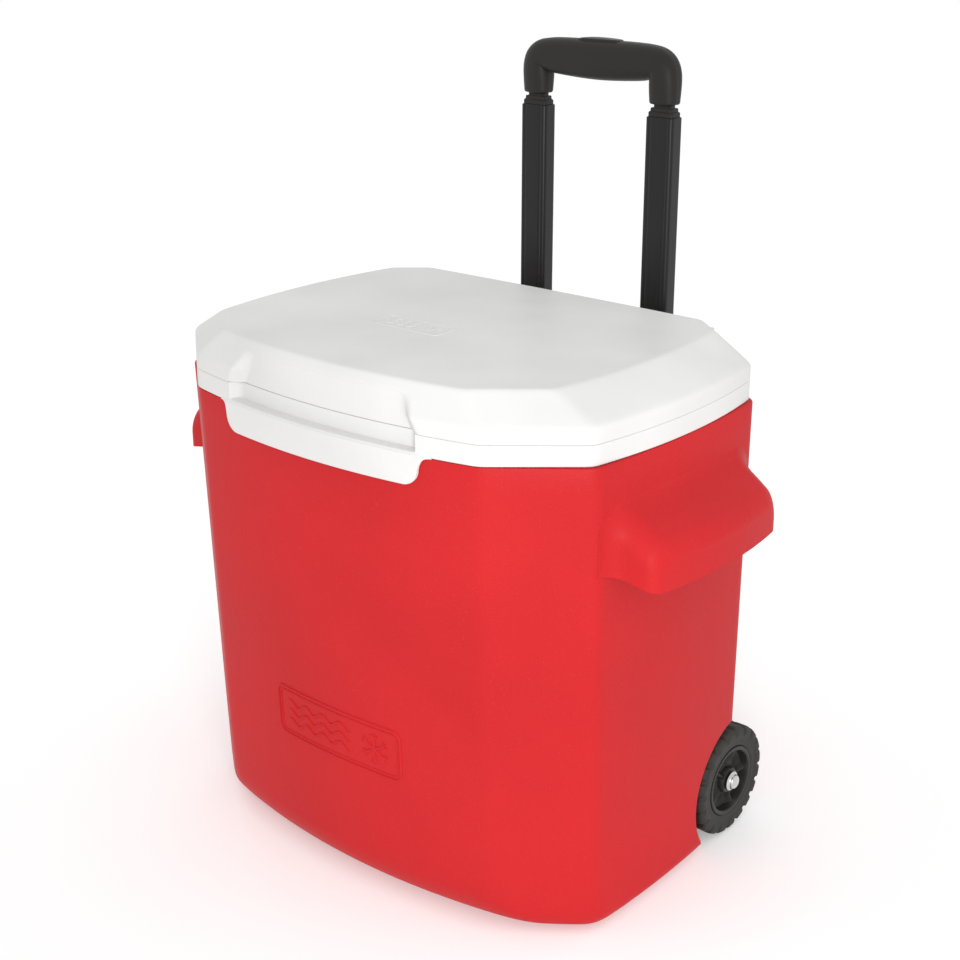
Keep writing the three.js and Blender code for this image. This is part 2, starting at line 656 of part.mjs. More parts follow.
function midShoe(x) {
  const bottom = RIM_Z + MID_TOP - MID_LENGTH;
  const outside = bar(FIXED_TUBE, -FIXED_TUBE.wall - GAP, x, TUBE_Y, bottom + 1, bottom + 15);
  return cut(outside, bar(MID_TUBE, GAP, x, TUBE_Y, bottom - 1, bottom + 20));
}

// The stepped collar plugged into a middle tube's top.
function midCollar(x) {
  const top = RIM_Z + MID_TOP;
  const plugged = bar(MID_TUBE, -MID_TUBE.wall - GAP, x, TUBE_Y, top - 14, top + COLLAR_HEIGHT);
  const step = bar(MID_TUBE, -1.2, x, TUBE_Y, top + GAP, top + 4);
  return cut(join(plugged, step), bar(INNER_TUBE, GAP, x, TUBE_Y, top - 15, top + 9));
}

const INNER_TOP = RIM_Z + GRIP_BOTTOM + 22;
const INNER_BOTTOM = INNER_TOP - INNER_LENGTH;

function innerShoe(x) {
  const outside = bar(MID_TUBE, -MID_TUBE.wall - GAP, x, TUBE_Y, INNER_BOTTOM + 1, INNER_BOTTOM + 17);
  return cut(outside, bar(INNER_TUBE, GAP, x, TUBE_Y, INNER_BOTTOM - 1, INNER_BOTTOM + 20));
}

// Outline of the grip seen from the front: two legs, round shoulders and a bar that bulges down.
function gripOutline() {
  const legOuter = TUBE_X + 12.5;
  const legInner = TUBE_X - 12.5;
  const under = GRIP_TOP - GRIP_BAR;
  const shape = new THREE.Shape();
  shape.moveTo(legInner, GRIP_BOTTOM);
  shape.lineTo(legOuter, GRIP_BOTTOM);
  shape.quadraticCurveTo(GRIP_HALF_WIDTH, GRIP_BOTTOM + 14, GRIP_HALF_WIDTH, GRIP_BOTTOM + 22);
  shape.bezierCurveTo(GRIP_HALF_WIDTH, GRIP_TOP - 9, GRIP_HALF_WIDTH - 8, GRIP_TOP, GRIP_HALF_WIDTH - 24, GRIP_TOP);
  shape.lineTo(-GRIP_HALF_WIDTH + 24, GRIP_TOP);
  shape.bezierCurveTo(-GRIP_HALF_WIDTH + 8, GRIP_TOP, -GRIP_HALF_WIDTH, GRIP_TOP - 9, -GRIP_HALF_WIDTH, GRIP_BOTTOM + 22);
  shape.quadraticCurveTo(-GRIP_HALF_WIDTH, GRIP_BOTTOM + 14, -legOuter, GRIP_BOTTOM);
  shape.lineTo(-legInner, GRIP_BOTTOM);
  shape.quadraticCurveTo(-legInner + 2, under + 3, -legInner + 10, under + 3);
  shape.quadraticCurveTo(0, under - 5, legInner - 10, under + 3);
  shape.quadraticCurveTo(legInner - 2, under + 3, legInner, GRIP_BOTTOM);
  return shape;
}

// Half of the grip: 1 is the rear one, -1 the front one. They meet on the tubes' centre plane.
function gripHalf(side) {
  const options = { depth: GRIP_DEPTH, bevelEnabled: false, curveSegments: 4 };
  const whole = new THREE.ExtrudeGeometry(gripOutline(), options);
  whole.rotateX(Math.PI / 2);
  const grip = solid(whole.translate(0, TUBE_Y + GRIP_DEPTH / 2, RIM_Z));
  const near = GAP / 2;
  const far = GRIP_DEPTH;
  const [y0, y1] = side > 0 ? [TUBE_Y + near, TUBE_Y + far] : [TUBE_Y - far, TUBE_Y - near];
  const floor = RIM_Z + GRIP_BOTTOM;
  const chamber = box(-TUBE_X - 6, TUBE_X + 6, TUBE_Y - 4, TUBE_Y + 4, INNER_TOP - 0.5, INNER_TOP + 12);
  const sockets = [-1, 1].map((end) => bar(INNER_TUBE, GAP, end * TUBE_X, TUBE_Y, floor - 1, INNER_TOP + GAP));
  const slot = prism(buttonShape(GAP), INNER_TOP, RIM_Z + GRIP_TOP + 5).translate([0, TUBE_Y, 0]);
  const screws = GRIP_SCREWS.map(([x, y, z]) => rod("y", SCREW_RADIUS + GAP, FAR, [x, y, z], 8));
  const heads = GRIP_SCREWS.map(([x, y, z]) => rod("y", SCREW_HEAD + GAP, 6, [x, y + 3, z], 10));
  return cut(grip.intersect(box(-FAR, FAR, y0, y1, 0, 2 * FAR)), chamber, ...sockets, slot, ...screws, ...heads);
}

const GRIP_SCREWS = [-1, 1].map((side) => [side * 44, TUBE_Y + GRIP_DEPTH / 2 - 3, RIM_Z + GRIP_TOP - 7]);

function gripScrew([x, y, z]) {
  const head = rod("y", SCREW_HEAD, 2.2, [x, y + 1.4, z], 10);
  const shank = rod("y", SCREW_RADIUS, 16, [x, y - 7.6, z], 8);
  return join(head, shank);
}

const buttonShape = (grow) =>
  roundedRectangle(BUTTON.length + 2 * grow, BUTTON.width + 2 * grow, BUTTON.width / 2 + grow - 0.05);

// The button and the bar under it, which carries the two rods down the inner tubes.
function releaseButton() {
  const top = RIM_Z + GRIP_TOP + BUTTON.proud;
  const cap = prism(buttonShape(0), INNER_TOP + BUTTON.travel + 4, top, 5).translate([0, TUBE_Y, 0]);
  const bridge = box(-TUBE_X - 5, TUBE_X + 5, TUBE_Y - 3, TUBE_Y + 3, INNER_TOP + BUTTON.travel + 1, INNER_TOP + 10);
  return join(cap, bridge);
}

function releaseRod(x) {
  const top = INNER_TOP + BUTTON.travel + 1 - GAP;
  const bottom = INNER_BOTTOM + 2 + BUTTON.travel;
  return rod("z", ROD_RADIUS, top - bottom, [x, TUBE_Y, (top + bottom) / 2], 8);
}

// ---------------------------------------------------------------- emblem panels
// A raised frame with a six-armed crystal.
function crystal(radius, thickness) {
  const arms = [0, 60, 120].map((turn) =>
    solid(new THREE.BoxGeometry(2 * radius, 2.4, thickness).rotateZ((turn * Math.PI) / 180)));
  return join(...arms);
}

function panel(width, height, thickness) {
  const rim = cut(
    prism(roundedRectangle(width, height, 5), -thickness / 2, thickness / 2),
    prism(roundedRectangle(width - 5, height - 5, 3), 0, thickness),
  );
  return join(rim, crystal(height * 0.3, thickness));
}

// The panel is bent to the tub's bowed, leaning front.
function frontBadge() {
  const thickness = 1.6;
  return panel(BADGE_WIDTH, BADGE_HEIGHT, thickness).refineToLength(14).warp((point) => {
    const [across, up, out] = point;
    const x = BADGE_X + across;
    const z = BADGE_Z + up;
    point[0] = x;
    point[1] = -faceAt(FACES.front, tubInsets(z).front, x) - GAP - thickness / 2 - out;
    point[2] = z;
  });
}

// ---------------------------------------------------------------- materials
const RED = { color: 0xd8343a, roughness: 0.5, metalness: 0 };
const WHITE = { color: 0xe9e9e7, roughness: 0.4, metalness: 0 };
const FOAM = { color: 0xf1e3b4, roughness: 0.9, metalness: 0 };
const BLACK = { color: 0x242322, roughness: 0.45, metalness: 0 };
const RUBBER = { color: 0x2b2a27, roughness: 0.8, metalness: 0 };
const PAINTED_TUBE = { color: 0x1c1b1b, roughness: 0.35, metalness: 0.4 };
const STEEL = { color: 0xb9bcc0, roughness: 0.3, metalness: 1 };

// ---------------------------------------------------------------- assembly
const cooler = new THREE.Group();

function place(name, made, look) {
  const mesh = new THREE.Mesh(geometryOf(made), new THREE.MeshStandardMaterial(look));
  mesh.name = name;
  cooler.add(mesh);
}

const sides = [[-1, "left"], [1, "right"]];
const axleBore = rod("x", AXLE_RADIUS + GAP, FAR, [0, WHEEL_Y, WHEEL_RADIUS], ROUND);
const tubHoles = [axleBore, ...[...BLOCK_SCREWS, ...HINGE_SCREWS].map(screwHole)];

function outerShell() {
  const body = tubBody(0, RIM_Z);
  const hoods = sides.map(([side]) => cut(sideHood(side), tubBody(0.5, RIM_Z)));
  return cut(join(body, ...hoods), tubBody(WALL, RIM_Z + 20), ...tubHoles);
}

place("outer_shell", outerShell(), RED);
place("insulation_foam", insulation(tubHoles), FOAM);
place("inner_liner", liner(), WHITE);
place("lid_lower_shell", lidLowerShell(), WHITE);
place("lid_foam", lidFoam(), FOAM);
place("lid_upper_shell", lidUpperShell(), WHITE);
place("front_badge", frontBadge(), RED);

const axleLength = 2 * (WHEEL_OUTER_X + 3);
place("axle", rod("x", AXLE_RADIUS, axleLength, [0, WHEEL_Y, WHEEL_RADIUS], ROUND), STEEL);
place("handle_guide_block", block(GUIDE_Z, GUIDE_Z[0] - 1), BLACK);
place("handle_foot_block", block(FOOT_Z, FIXED_BOTTOM_Z - GAP), BLACK);
BLOCK_SCREWS.forEach((spot, i) => place(`block_screw_${i + 1}`, screw(spot), STEEL));
HINGE_SCREWS.forEach((spot, i) => place(`hinge_screw_${i + 1}`, screw(spot), STEEL));

for (const [side, name] of sides) {
  const x = side * TUBE_X;
  const pin = rod("x", HINGE_PIN_RADIUS, 2 * CLEVIS_HALF - 1, [side * HINGE_X, HINGE_Y, HINGE_Z]);
  place(`hinge_bracket_${name}`, hingeBracket(side), BLACK);
  place(`hinge_pin_${name}`, pin, STEEL);
  place(`lid_clevis_${name}`, lidClevis(side), WHITE);
  place(`tyre_${name}`, onAxle(tyre(), side, WHEEL_OUTER_X - WHEEL_WIDTH / 2), RUBBER);
  place(`hub_${name}`, onAxle(hub(), side, WHEEL_OUTER_X - WHEEL_WIDTH / 2), BLACK);
  place(`washer_${name}`, onAxle(washer(), side, WELL_X + 2.5), STEEL);
  place(`push_nut_${name}`, onAxle(pushNut(), side, WHEEL_OUTER_X - 1.5 + GAP), STEEL);
  place(`fixed_tube_${name}`, tube(FIXED_TUBE, x, FIXED_BOTTOM_Z, RIM_Z + FIXED_TOP), PAINTED_TUBE);
  place(`fixed_cap_${name}`, fixedCap(x), BLACK);
  place(`mid_tube_${name}`, tube(MID_TUBE, x, RIM_Z + MID_TOP - MID_LENGTH, RIM_Z + MID_TOP), PAINTED_TUBE);
  place(`mid_shoe_${name}`, midShoe(x), BLACK);
  place(`mid_collar_${name}`, midCollar(x), BLACK);
  place(`inner_tube_${name}`, tube(INNER_TUBE, x, INNER_BOTTOM, INNER_TOP), PAINTED_TUBE);
  place(`inner_shoe_${name}`, innerShoe(x), BLACK);
  place(`release_rod_${name}`, releaseRod(x), STEEL);
}
place("grip_front", gripHalf(-1), BLACK);
place("grip_back", gripHalf(1), BLACK);
GRIP_SCREWS.forEach((spot, i) => place(`grip_screw_${i + 1}`, gripScrew(spot), STEEL));
place("release_button", releaseButton(), BLACK);

// The origin is under the middle of the whole object's box.
const bounds = new THREE.Box3().setFromObject(cooler);
cooler.position.y = -(bounds.min.y + bounds.max.y) / 2;

export default cooler;
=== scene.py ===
import math

import bmesh
import bpy
import numpy as np
from bpy.props import FloatProperty, FloatVectorProperty, IntProperty, PointerProperty
from mathutils import Matrix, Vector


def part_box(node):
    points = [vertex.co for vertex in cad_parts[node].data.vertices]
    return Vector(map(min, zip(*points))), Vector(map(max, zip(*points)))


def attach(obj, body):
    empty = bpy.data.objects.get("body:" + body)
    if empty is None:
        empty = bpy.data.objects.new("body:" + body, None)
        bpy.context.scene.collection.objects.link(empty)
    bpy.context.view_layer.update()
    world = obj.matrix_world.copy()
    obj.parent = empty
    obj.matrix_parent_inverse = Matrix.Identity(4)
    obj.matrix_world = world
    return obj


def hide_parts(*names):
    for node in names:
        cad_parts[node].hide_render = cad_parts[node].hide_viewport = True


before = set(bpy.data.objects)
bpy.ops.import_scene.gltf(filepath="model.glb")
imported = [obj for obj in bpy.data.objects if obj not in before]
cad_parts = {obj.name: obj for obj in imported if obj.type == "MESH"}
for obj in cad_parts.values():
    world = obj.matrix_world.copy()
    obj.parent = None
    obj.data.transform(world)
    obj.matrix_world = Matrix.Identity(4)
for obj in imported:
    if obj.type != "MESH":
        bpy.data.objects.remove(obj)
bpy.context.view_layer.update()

bl_info = {
    "name": "Cooler on wheels",
    "version": (1, 0, 0),
    "blender": (4, 5, 0),
    "location": "View3D > Sidebar > Cooler",
    "description": "Builds the visible pieces of a wheeled cooler around its frame",
    "category": "Object",
}

# All lengths below are in millimetres, with heights above the floor. The frame's origin lies under
# the middle of the whole cooler, so y is moved by SHIFT_Y when a mesh is made.
HINGE_Y = 147.0
SHIFT_Y = 500.0 * (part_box("hinge_pin_left")[0][1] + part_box("hinge_pin_left")[1][1]) - HINGE_Y
GAP = 0.3

# Tub
RIM = 376.0
HALF_WIDTH = 200.0
HALF_DEPTH = 148.0
CHAMFER_X = 59.0
CHAMFER_Y = 49.0
BOW = {"front": 17.3, "side": 9.5, "back": 2.0}
TUB_WIDE = 4.5  # how much further out the tub's side corners stand than the lid's
OVERHANG = 0.6
DRAFT = {"front": 13.5, "side": 2.5, "back": 2.0, "chamfer": 11.0, "rear": 0.0}
FOOT_FILLET = {"front": 38.0, "side": 16.0, "back": 7.0, "chamfer": 21.0, "rear": 16.0}
WALL = 3.0
TILT_RISE = 60.0
TILT_RUN = 66.0
PLAN_FACES = ("front", "side", "back", "chamfer", "rear")

# Side handles
HOOD_REACH = 240.0
HOOD_BOW = 8.0
HOOD_HALF = 74.0
HOOD_WALL = 6.0
HOOD_EDGE = 8.0  # radius from the hood into its face
HOOD_ROOT = 14.0  # radius from the hood into the wall

# Lid
PARTING = RIM + 15.7
LID_SIDE_TOP = RIM + 29.0
LID_TOP = RIM + 48.0
LID_CROWN = 2.0
BEVEL = {"front": 15.0, "side": 34.0, "back": 28.0, "chamfer": 22.0, "rear": 22.0}
PLUG_INSET = 31.0
PLUG_DROP = 12.0
TAB_HALF = 106.0
TAB_DROP = 21.5
TAB_PROUD = 2.2
TAB_CORNER = 12.0
TAB_FLARE = 10.0
RECESS_HALF = 93.0
RECESS_DEPTH = 8.0
LEDGE = 0.9  # step at the recess's upper edge
RECESS_LEAN = 0.08  # of its floor above the band
RECESS_TAPER = 0.006  # share by which it narrows with each millimetre above the band
RECESS_CORNER = 9.0
RECESS_FLOOR = RIM + 3.3
HINGE_X = 119.0

# Wheels
WHEEL_RADIUS = 46.8
WHEEL_WIDTH = 32.0
WHEEL_Y = 102.5
WHEEL_X = 187.0
WELL_RADIUS = 56.8
WELL_X = 164.0
HUB_RADIUS = 30.0
AXLE_RADIUS = 4.15

# Pull handle
TUBE_X = 63.5
TUBE_Y = 173.0
INNER_TOP = RIM + 222.0
# Each stage's width, depth, wall, corner radius, bottom and top.
OUTER_TUBE = (33.0, 23.0, 1.5, 4.0, 96.0, RIM - 5)
MIDDLE_TUBE = (26.0, 16.0, 1.2, 3.4, RIM - 90, RIM + 190)
INNER_TUBE = (16.0, 10.0, 1.2, 2.6, INNER_TOP - 292, INNER_TOP)
GRIP_BOTTOM = RIM + 200.0
GRIP_TOP = RIM + 246.0


# ------------------------------------------------------------------ meshes
def to_frame(points):
    """Millimetre points in the cooler's own axes, as metres in the frame."""
    moved = np.array(points, dtype=float)
    moved[:, 1] += SHIFT_Y
    return moved * 0.001


def grid_faces(rows, columns, closed=True, ring=False):
    """Quads of a rows x columns grid; closed joins the last column to the first, ring the last row."""
    i, j = np.meshgrid(
        np.arange(rows if ring else rows - 1),
        np.arange(columns if closed else columns - 1),
        indexing="ij",
    )
    below, beside = (i + 1) % rows, (j + 1) % columns
    corners = (i * columns + j, i * columns + beside, below * columns + beside, below * columns + j)
    return np.stack(corners, axis=-1).reshape(-1, 4)


def raw_object(name, points, faces):
    """An object of these points, in millimetres, and faces, with doubled points merged.

    A closed skin is turned to face outwards: its volume is a sixth of the sum of a . (b x c).
    """
    mesh = bpy.data.meshes.new(name)
    mesh.from_pydata(to_frame(points).tolist(), [], [list(face) for face in faces])
    work = bmesh.new()
    work.from_mesh(mesh)
    bmesh.ops.remove_doubles(work, verts=work.verts, dist=2e-6)
    bmesh.ops.dissolve_degenerate(work, edges=work.edges, dist=1e-6)
    if work.calc_volume(signed=True) < 0:
        bmesh.ops.reverse_faces(work, faces=work.faces)
    work.to_mesh(mesh)
    work.free()
    made = bpy.data.objects.new(name, mesh)
    bpy.context.scene.collection.objects.link(made)
    return made


def join_parts(name, parts):
    """One object from several (points, faces) pairs."""
    points, faces, start = [], [], 0
    for part_points, part_faces in parts:
        points.append(part_points)
        faces.extend((np.asarray(part_faces) + start).tolist())
        start += len(part_points)
    return raw_object(name, np.vstack(points), faces)


def mirrored(points, faces):
    """The same skin on the other side of x = 0, with its faces turned round."""
    return np.asarray(points) * [-1.0, 1.0, 1.0], [list(face)[::-1] for face in faces]


def baked(made):
    """Puts the modifiers of an object into its mesh."""
    graph = bpy.context.evaluated_depsgraph_get()
    mesh = bpy.data.meshes.new_from_object(made.evaluated_get(graph))
    old = made.data
    made.modifiers.clear()
    made.data = mesh
    bpy.data.meshes.remove(old)


def combine(made, others, operation):
    """Joins the other bodies to this one, or cuts them from it, and drops them."""
    for other in others:
        change = made.modifiers.new("combine", "BOOLEAN")
        change.solver = "MANIFOLD"
        change.operation = operation
        change.object = other
        baked(made)
        bpy.data.objects.remove(other)
    return made


def finish_piece(made, body, paint, replaces=(), crease=32.0):
    """Shades a piece, gives it its finish, hangs it under its body and hides the frame's parts that it
    replaces.
    """
    made.data.materials.clear()
    made.data.materials.append(paint)
    made.data.polygons.foreach_set("use_smooth", [True] * len(made.data.polygons))
    made.data.set_sharp_from_angle(angle=math.radians(crease))
    made.data.update()
    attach(made, body)
    if replaces:
        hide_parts(*replaces)
    return made


def soften(made, width, segments=2, angle=40.0):
    """Rounds the sharp edges by a width in millimetres."""
    change = made.modifiers.new("rounding", "BEVEL")
    change.width = width * 0.001
    change.segments = segments
    change.limit_method = "ANGLE"
    change.angle_limit = math.radians(angle)
    change.harden_normals = False
    baked(made)


# ------------------------------------------------------------------ plan outline
def face_shape(face, wide):
    """A face's reach, half length, bow, and the run and rise of the chamfer next to it."""
    if face == "side":
        return HALF_WIDTH + wide, HALF_DEPTH - CHAMFER_Y, BOW[face] - wide, CHAMFER_X + wide, CHAMFER_Y
    return HALF_DEPTH, HALF_WIDTH - CHAMFER_X, BOW[face], CHAMFER_Y, CHAMFER_X + wide


def face_at(face, inset, u, wide=0.0):
    """Distance of a bowed face from the centre at u along it: reach + bow (1 - (u / corner)^2) - inset."""
    reach, corner, bow = face_shape(face, wide)[:3]
    return reach + bow * (1 - (u / corner) ** 2) - inset


def corner_of(face, inset, chamfer_inset, wide):
    """Where a face's bow meets the chamfer's line: the near root of a quadratic in u."""
    reach, corner, bow, run, rise = face_shape(face, wide)
    length = math.hypot(run, rise)
    along, across = run / length, rise / length
    line = along * corner + across * reach - chamfer_inset
    square = across * bow / corner**2
    rest = line - across * face_at(face, inset, 0, wide)
    return 2 * rest / (along + np.sqrt(along**2 - 4 * square * rest))


FRONT_STEPS, SIDE_STEPS, CHAMFER_STEPS = 280, 198, 76


def plan_rings(insets, softness, wide=0.0):
    """Closed outlines, one row for each inset, about one point to a millimetre, corners rounded.

    The faces are parabolas and the chamfers straight lines; a Gaussian blur along the outline, of
    softness millimetres, rounds the corners between them. wide moves the side corners outwards.
    """
    sets = [np.atleast_1d(np.asarray(insets[face], float))[:, None] for face in PLAN_FACES]
    rows = max(len(values) for values in sets)
    front, side, back, chamfer, rear = (np.broadcast_to(values, (rows, 1)) for values in sets)

    def along(face, inset, start, end, steps):
        low, high = (corner_of(face, inset, chamfer_inset, wide) for chamfer_inset in (start, end))
        u = -low + (low + high) * np.arange(steps + 1) / steps
        return u, face_at(face, inset, u, wide)

    front_u, front_reach = along("front", front, chamfer, chamfer, FRONT_STEPS)
    side_u, side_reach = along("side", side, chamfer, rear, SIDE_STEPS)
    back_u, back_reach = along("back", back, rear, rear, FRONT_STEPS)
    sides = [
        np.stack([front_u, -front_reach], -1),
        np.stack([side_reach, side_u], -1),
        np.stack([-back_u, back_reach], -1),
        np.stack([-side_reach, side_u], -1)[:, ::-1],
    ]
    share = (np.arange(1, CHAMFER_STEPS) / CHAMFER_STEPS)[None, :, None]
    pieces = []
    for index, run in enumerate(sides):
        following = sides[(index + 1) % 4]
        pieces.append(run)
        pieces.append(run[:, -1:] * (1 - share) + following[:, :1] * share)
    rings = np.concatenate(pieces, axis=1)
    wave = 2 * np.pi * np.fft.rfftfreq(rings.shape[1])
    blur = np.exp(-0.5 * (np.broadcast_to(np.asarray(softness, float), (rows,))[:, None] * wave) ** 2)
    return np.fft.irfft(np.fft.rfft(rings, axis=1) * blur[:, :, None], n=rings.shape[1], axis=1)


RING_POINTS = 2 * (FRONT_STEPS + 1) + 2 * (SIDE_STEPS + 1) + 4 * (CHAMFER_STEPS - 1)


def plain_columns(step):
    """Every step-th point of an outline."""
    return np.arange(0, RING_POINTS, step)


def even(inset):
    """The same inset for every face."""
    return {face: np.asarray(inset, float) for face in PLAN_FACES}


def stacked(rings, heights):
    """Outlines (rows, columns, 2) put at their heights, as (rows, columns, 3)."""
    z = np.broadcast_to(np.asarray(heights, float).reshape(len(rings), -1), rings.shape[:2])
    return np.concatenate([rings, z[:, :, None]], axis=-1)


def closed_skin(rows):
    """A closed skin over stacked rows, each end drawn in to its centre."""
    first, last = rows[:1].mean(axis=1, keepdims=True), rows[-1:].mean(axis=1, keepdims=True)
    start = first + (rows[:1] - first) * np.array([0.0, 0.35, 0.7, 0.93])[:, None, None]
    end = last + (rows[-1:] - last) * np.array([0.93, 0.7, 0.35, 0.0])[:, None, None]
    full = np.concatenate([start, rows, end], axis=0)
    return full.reshape(-1, 3), grid_faces(len(full), full.shape[1])


# ------------------------------------------------------------------ tub
def fillet(height, radius):
    """How far a quarter-round foot stands back at a height: r - sqrt(r^2 - (r - height)^2)."""
    rest = np.clip(radius - height, 0, None)
    return radius - np.sqrt(radius**2 - rest**2)


def tub_insets(height, inset=0.0):
    """The tub's insets: draft falls off towards the rim, and the foot is a quarter round."""
    drafted = 1 - height / RIM
    return {f: OVERHANG + DRAFT[f] * drafted + fillet(height, FOOT_FILLET[f]) + inset for f in PLAN_FACES}


def tub_body(inset, step, rows, softness, wide):
    """The tub's outside as a closed body, shrunk by an inset."""
    turn = np.linspace(0, np.pi / 2, rows)
    foot = FOOT_FILLET["front"] * (1 - np.cos(turn))
    heights = np.concatenate([foot, np.linspace(FOOT_FILLET["front"], RIM - 1.2, rows)[1:]])
    soft = softness + 9.0 * np.clip(1 - heights / 90.0, 0, 1) ** 2
    rings = plan_rings(tub_insets(heights, inset), soft, wide)
    top = plan_rings(tub_insets(np.array([RIM - 0.35, RIM]), inset + np.array([0.35, 1.2])), soft[-1], wide)
    top_heights = np.array([RIM - 0.35, RIM]) + (20.0 if inset else 0.0)
    rings = np.concatenate([rings, top])[:, plain_columns(step)]
    return closed_skin(stacked(rings, np.concatenate([heights + inset, top_heights])))


def side_wall_x(y, z):
    """The tub's side at y and z: the bowed side or, past its corner, the rear chamfer's line."""
    foot = fillet(np.clip(z, 0, None), FOOT_FILLET["side"])
    bowed = face_at("side", OVERHANG + DRAFT["side"] * (1 - z / RIM) + foot, y, TUB_WIDE)
    corner = HALF_DEPTH - CHAMFER_Y
    chamfer = HALF_WIDTH + TUB_WIDE - OVERHANG - (y - corner) * (CHAMFER_X + TUB_WIDE) / CHAMFER_Y
    return np.minimum(bowed, chamfer + 1.0)


def wheel_well(grow, lip):
    """The space of a wheel: an arch open to the rear and the floor, its mouth flared by a lip radius.

    The profile is an arc and a slot in the y-z plane. It is carried out along x, and within lip of
    the wall it grows by lip - sqrt(lip^2 - (lip - depth)^2).
    """
    radius = WELL_RADIUS + grow
    turn = np.radians(np.linspace(0, 232, 60))
    arc = np.stack([WHEEL_Y + radius * np.cos(turn), WHEEL_RADIUS + radius * np.sin(turn)], -1)
    ends = [[arc[-1, 0], -30.0], [WHEEL_Y + 140, -30.0], [WHEEL_Y + 140, WHEEL_RADIUS + grow]]
    outline = np.vstack([arc, ends])
    away = np.vstack([np.stack([np.cos(turn), np.sin(turn)], -1), [[0, 0], [0, 0], [0, 1]]])
    wall = np.maximum(side_wall_x(outline[:, 0], outline[:, 1]), WELL_X + 12)
    depths = lip * (1 - np.sin(np.linspace(0, np.pi / 2, 6))) if lip else np.array([1.0])
    growth = lip - np.sqrt(np.clip(lip**2 - (lip - depths) ** 2, 0, None)) if lip else np.zeros(1)
    rows = [np.column_stack([np.full(len(outline), WELL_X - grow), outline])]
    rows += [np.column_stack([wall - depth, outline + away * more]) for depth, more in zip(depths, growth)]
    rows.append(np.column_stack([wall + 60, outline + away * lip]))
    return closed_fan(np.array(rows))


def closed_fan(rows):
    """A closed skin over rows of points, its two ends filled with a fan."""
    count = rows.shape[1]
    points = rows.reshape(-1, 3)
    first, last = len(points), len(points) + 1
    points = np.vstack([points, rows[0].mean(axis=0), rows[-1].mean(axis=0)])
    faces = grid_faces(len(rows), count).tolist()
    top = (len(rows) - 1) * count
    for i in range(count):
        following = (i + 1) % count
        faces.append([first, following, i])
        faces.append([last, top + i, top + following])
    return points, faces


def block_between(low, high):
    """A closed box between two corners, for cutting."""
    x, y, z = zip(low, high)
    ring = np.array([[x[0], y[0]], [x[1], y[0]], [x[1], y[1]], [x[0], y[1]]])
    rows = np.array([np.column_stack([ring, np.full(4, level)]) for level in z])
    return closed_fan_faces(rows)


def closed_fan_faces(rows):
    """A prism over rows of points whose two ends are single flat faces."""
    count = rows.shape[1]
    points = rows.reshape(-1, 3)
    faces = grid_faces(len(rows), count).tolist()
    top = (len(rows) - 1) * count
    faces.append(list(range(count))[::-1])
    faces.append([top + i for i in range(count)])
    return points, faces


def tilt_wedge(grow):
    """What the underside leaves free behind the wheels, as a prism along x."""
    rear = HALF_DEPTH + BOW["back"] - DRAFT["back"] - OVERHANG
    slope = TILT_RISE / TILT_RUN
    lift = grow * math.hypot(1, slope)
    front = rear - TILT_RUN - 80
    section = [
        [front, -80 * slope + lift],
        [rear + 80, -80 * slope - 80],
        [rear + 80, TILT_RISE + 80 * slope + lift],
    ]
    rows = np.array([[[x, y, z] for y, z in section] for x in (-300.0, 300.0)])
    return closed_fan_faces(rows)


def hood_sheet():
    """One side handle as an open sheet: an arch carried out from the wall and closed by its face.

    The arch runs up, round a corner, along the top and down again. A point at depth d stands at
    wall + (face - wall) d / reach, where the face bows out by bow (1 - (y / half)^2). The arch
    widens into the wall by a quarter round, R - sqrt(R^2 - (R - d)^2), and turns into the face by
    another.
    """
    edge, root, reach = HOOD_EDGE, HOOD_ROOT, HOOD_REACH - HALF_WIDTH - TUB_WIDE
    turn = np.linspace(0, np.pi / 2, 9)
    depth = np.concatenate([[-3.0, -1.0], root * (1 - np.cos(turn)), np.linspace(root, reach - edge, 12)[1:],
                            reach - edge + edge * np.sin(turn[1:])])
    pulled = np.concatenate([np.zeros(len(depth) - 8), edge * (1 - np.cos(turn[1:]))])
    widened = root - np.sqrt(root**2 - (root - np.clip(depth, 0, root)) ** 2)
    share = np.clip(depth / reach, 0, 1)
    half = 83.5 - 3.5 * share + 0.85 * widened - pulled
    top = RIM - 35.0 - 23.0 * share**1.2 + 0.5 * widened - pulled
    bottom = RIM - 80.0 - 8.0 * share
    corner = 20.0 - 3.0 * share

    straight, quarter = np.linspace(0, 1, 12), np.linspace(0, np.pi / 2, 12)
    rows = []
    for d, h, t, b, r in zip(depth, half, top, bottom, corner):
        up = np.column_stack([np.full(12, -h), b + (t - r - b) * straight])[:-1]
        rounded = np.column_stack([-h + r - r * np.cos(quarter), t - r + r * np.sin(quarter)])[:-1]
        level = np.column_stack([np.linspace(-h + r, 0, 18), np.full(18, t)])[:-1]
        left = np.vstack([up, rounded, level])
        arch = np.vstack([left, [[0.0, t]], (left * [-1, 1])[::-1]])
        rows.append(np.column_stack([np.full(len(arch), d / reach), arch]))
    rim = rows[-1]
    for scale in (0.92, 0.75, 0.5, 0.25, 0.0):
        height = bottom[-1] + (rim[:, 2] - bottom[-1]) * scale
        rows.append(np.column_stack([rim[:, 0], rim[:, 1] * scale, height]))
    grid = np.array(rows)
    y = grid[:, :, 1]
    wall = face_at("side", OVERHANG + DRAFT["side"] * 0.18, y, TUB_WIDE)
    face = HOOD_REACH + HOOD_BOW * (1 - (y / (HOOD_HALF + 5)) ** 2)
    grid[:, :, 0] = wall + (face - wall) * grid[:, :, 0]
    return grid.reshape(-1, 3), grid_faces(len(grid), grid.shape[1], closed=False)


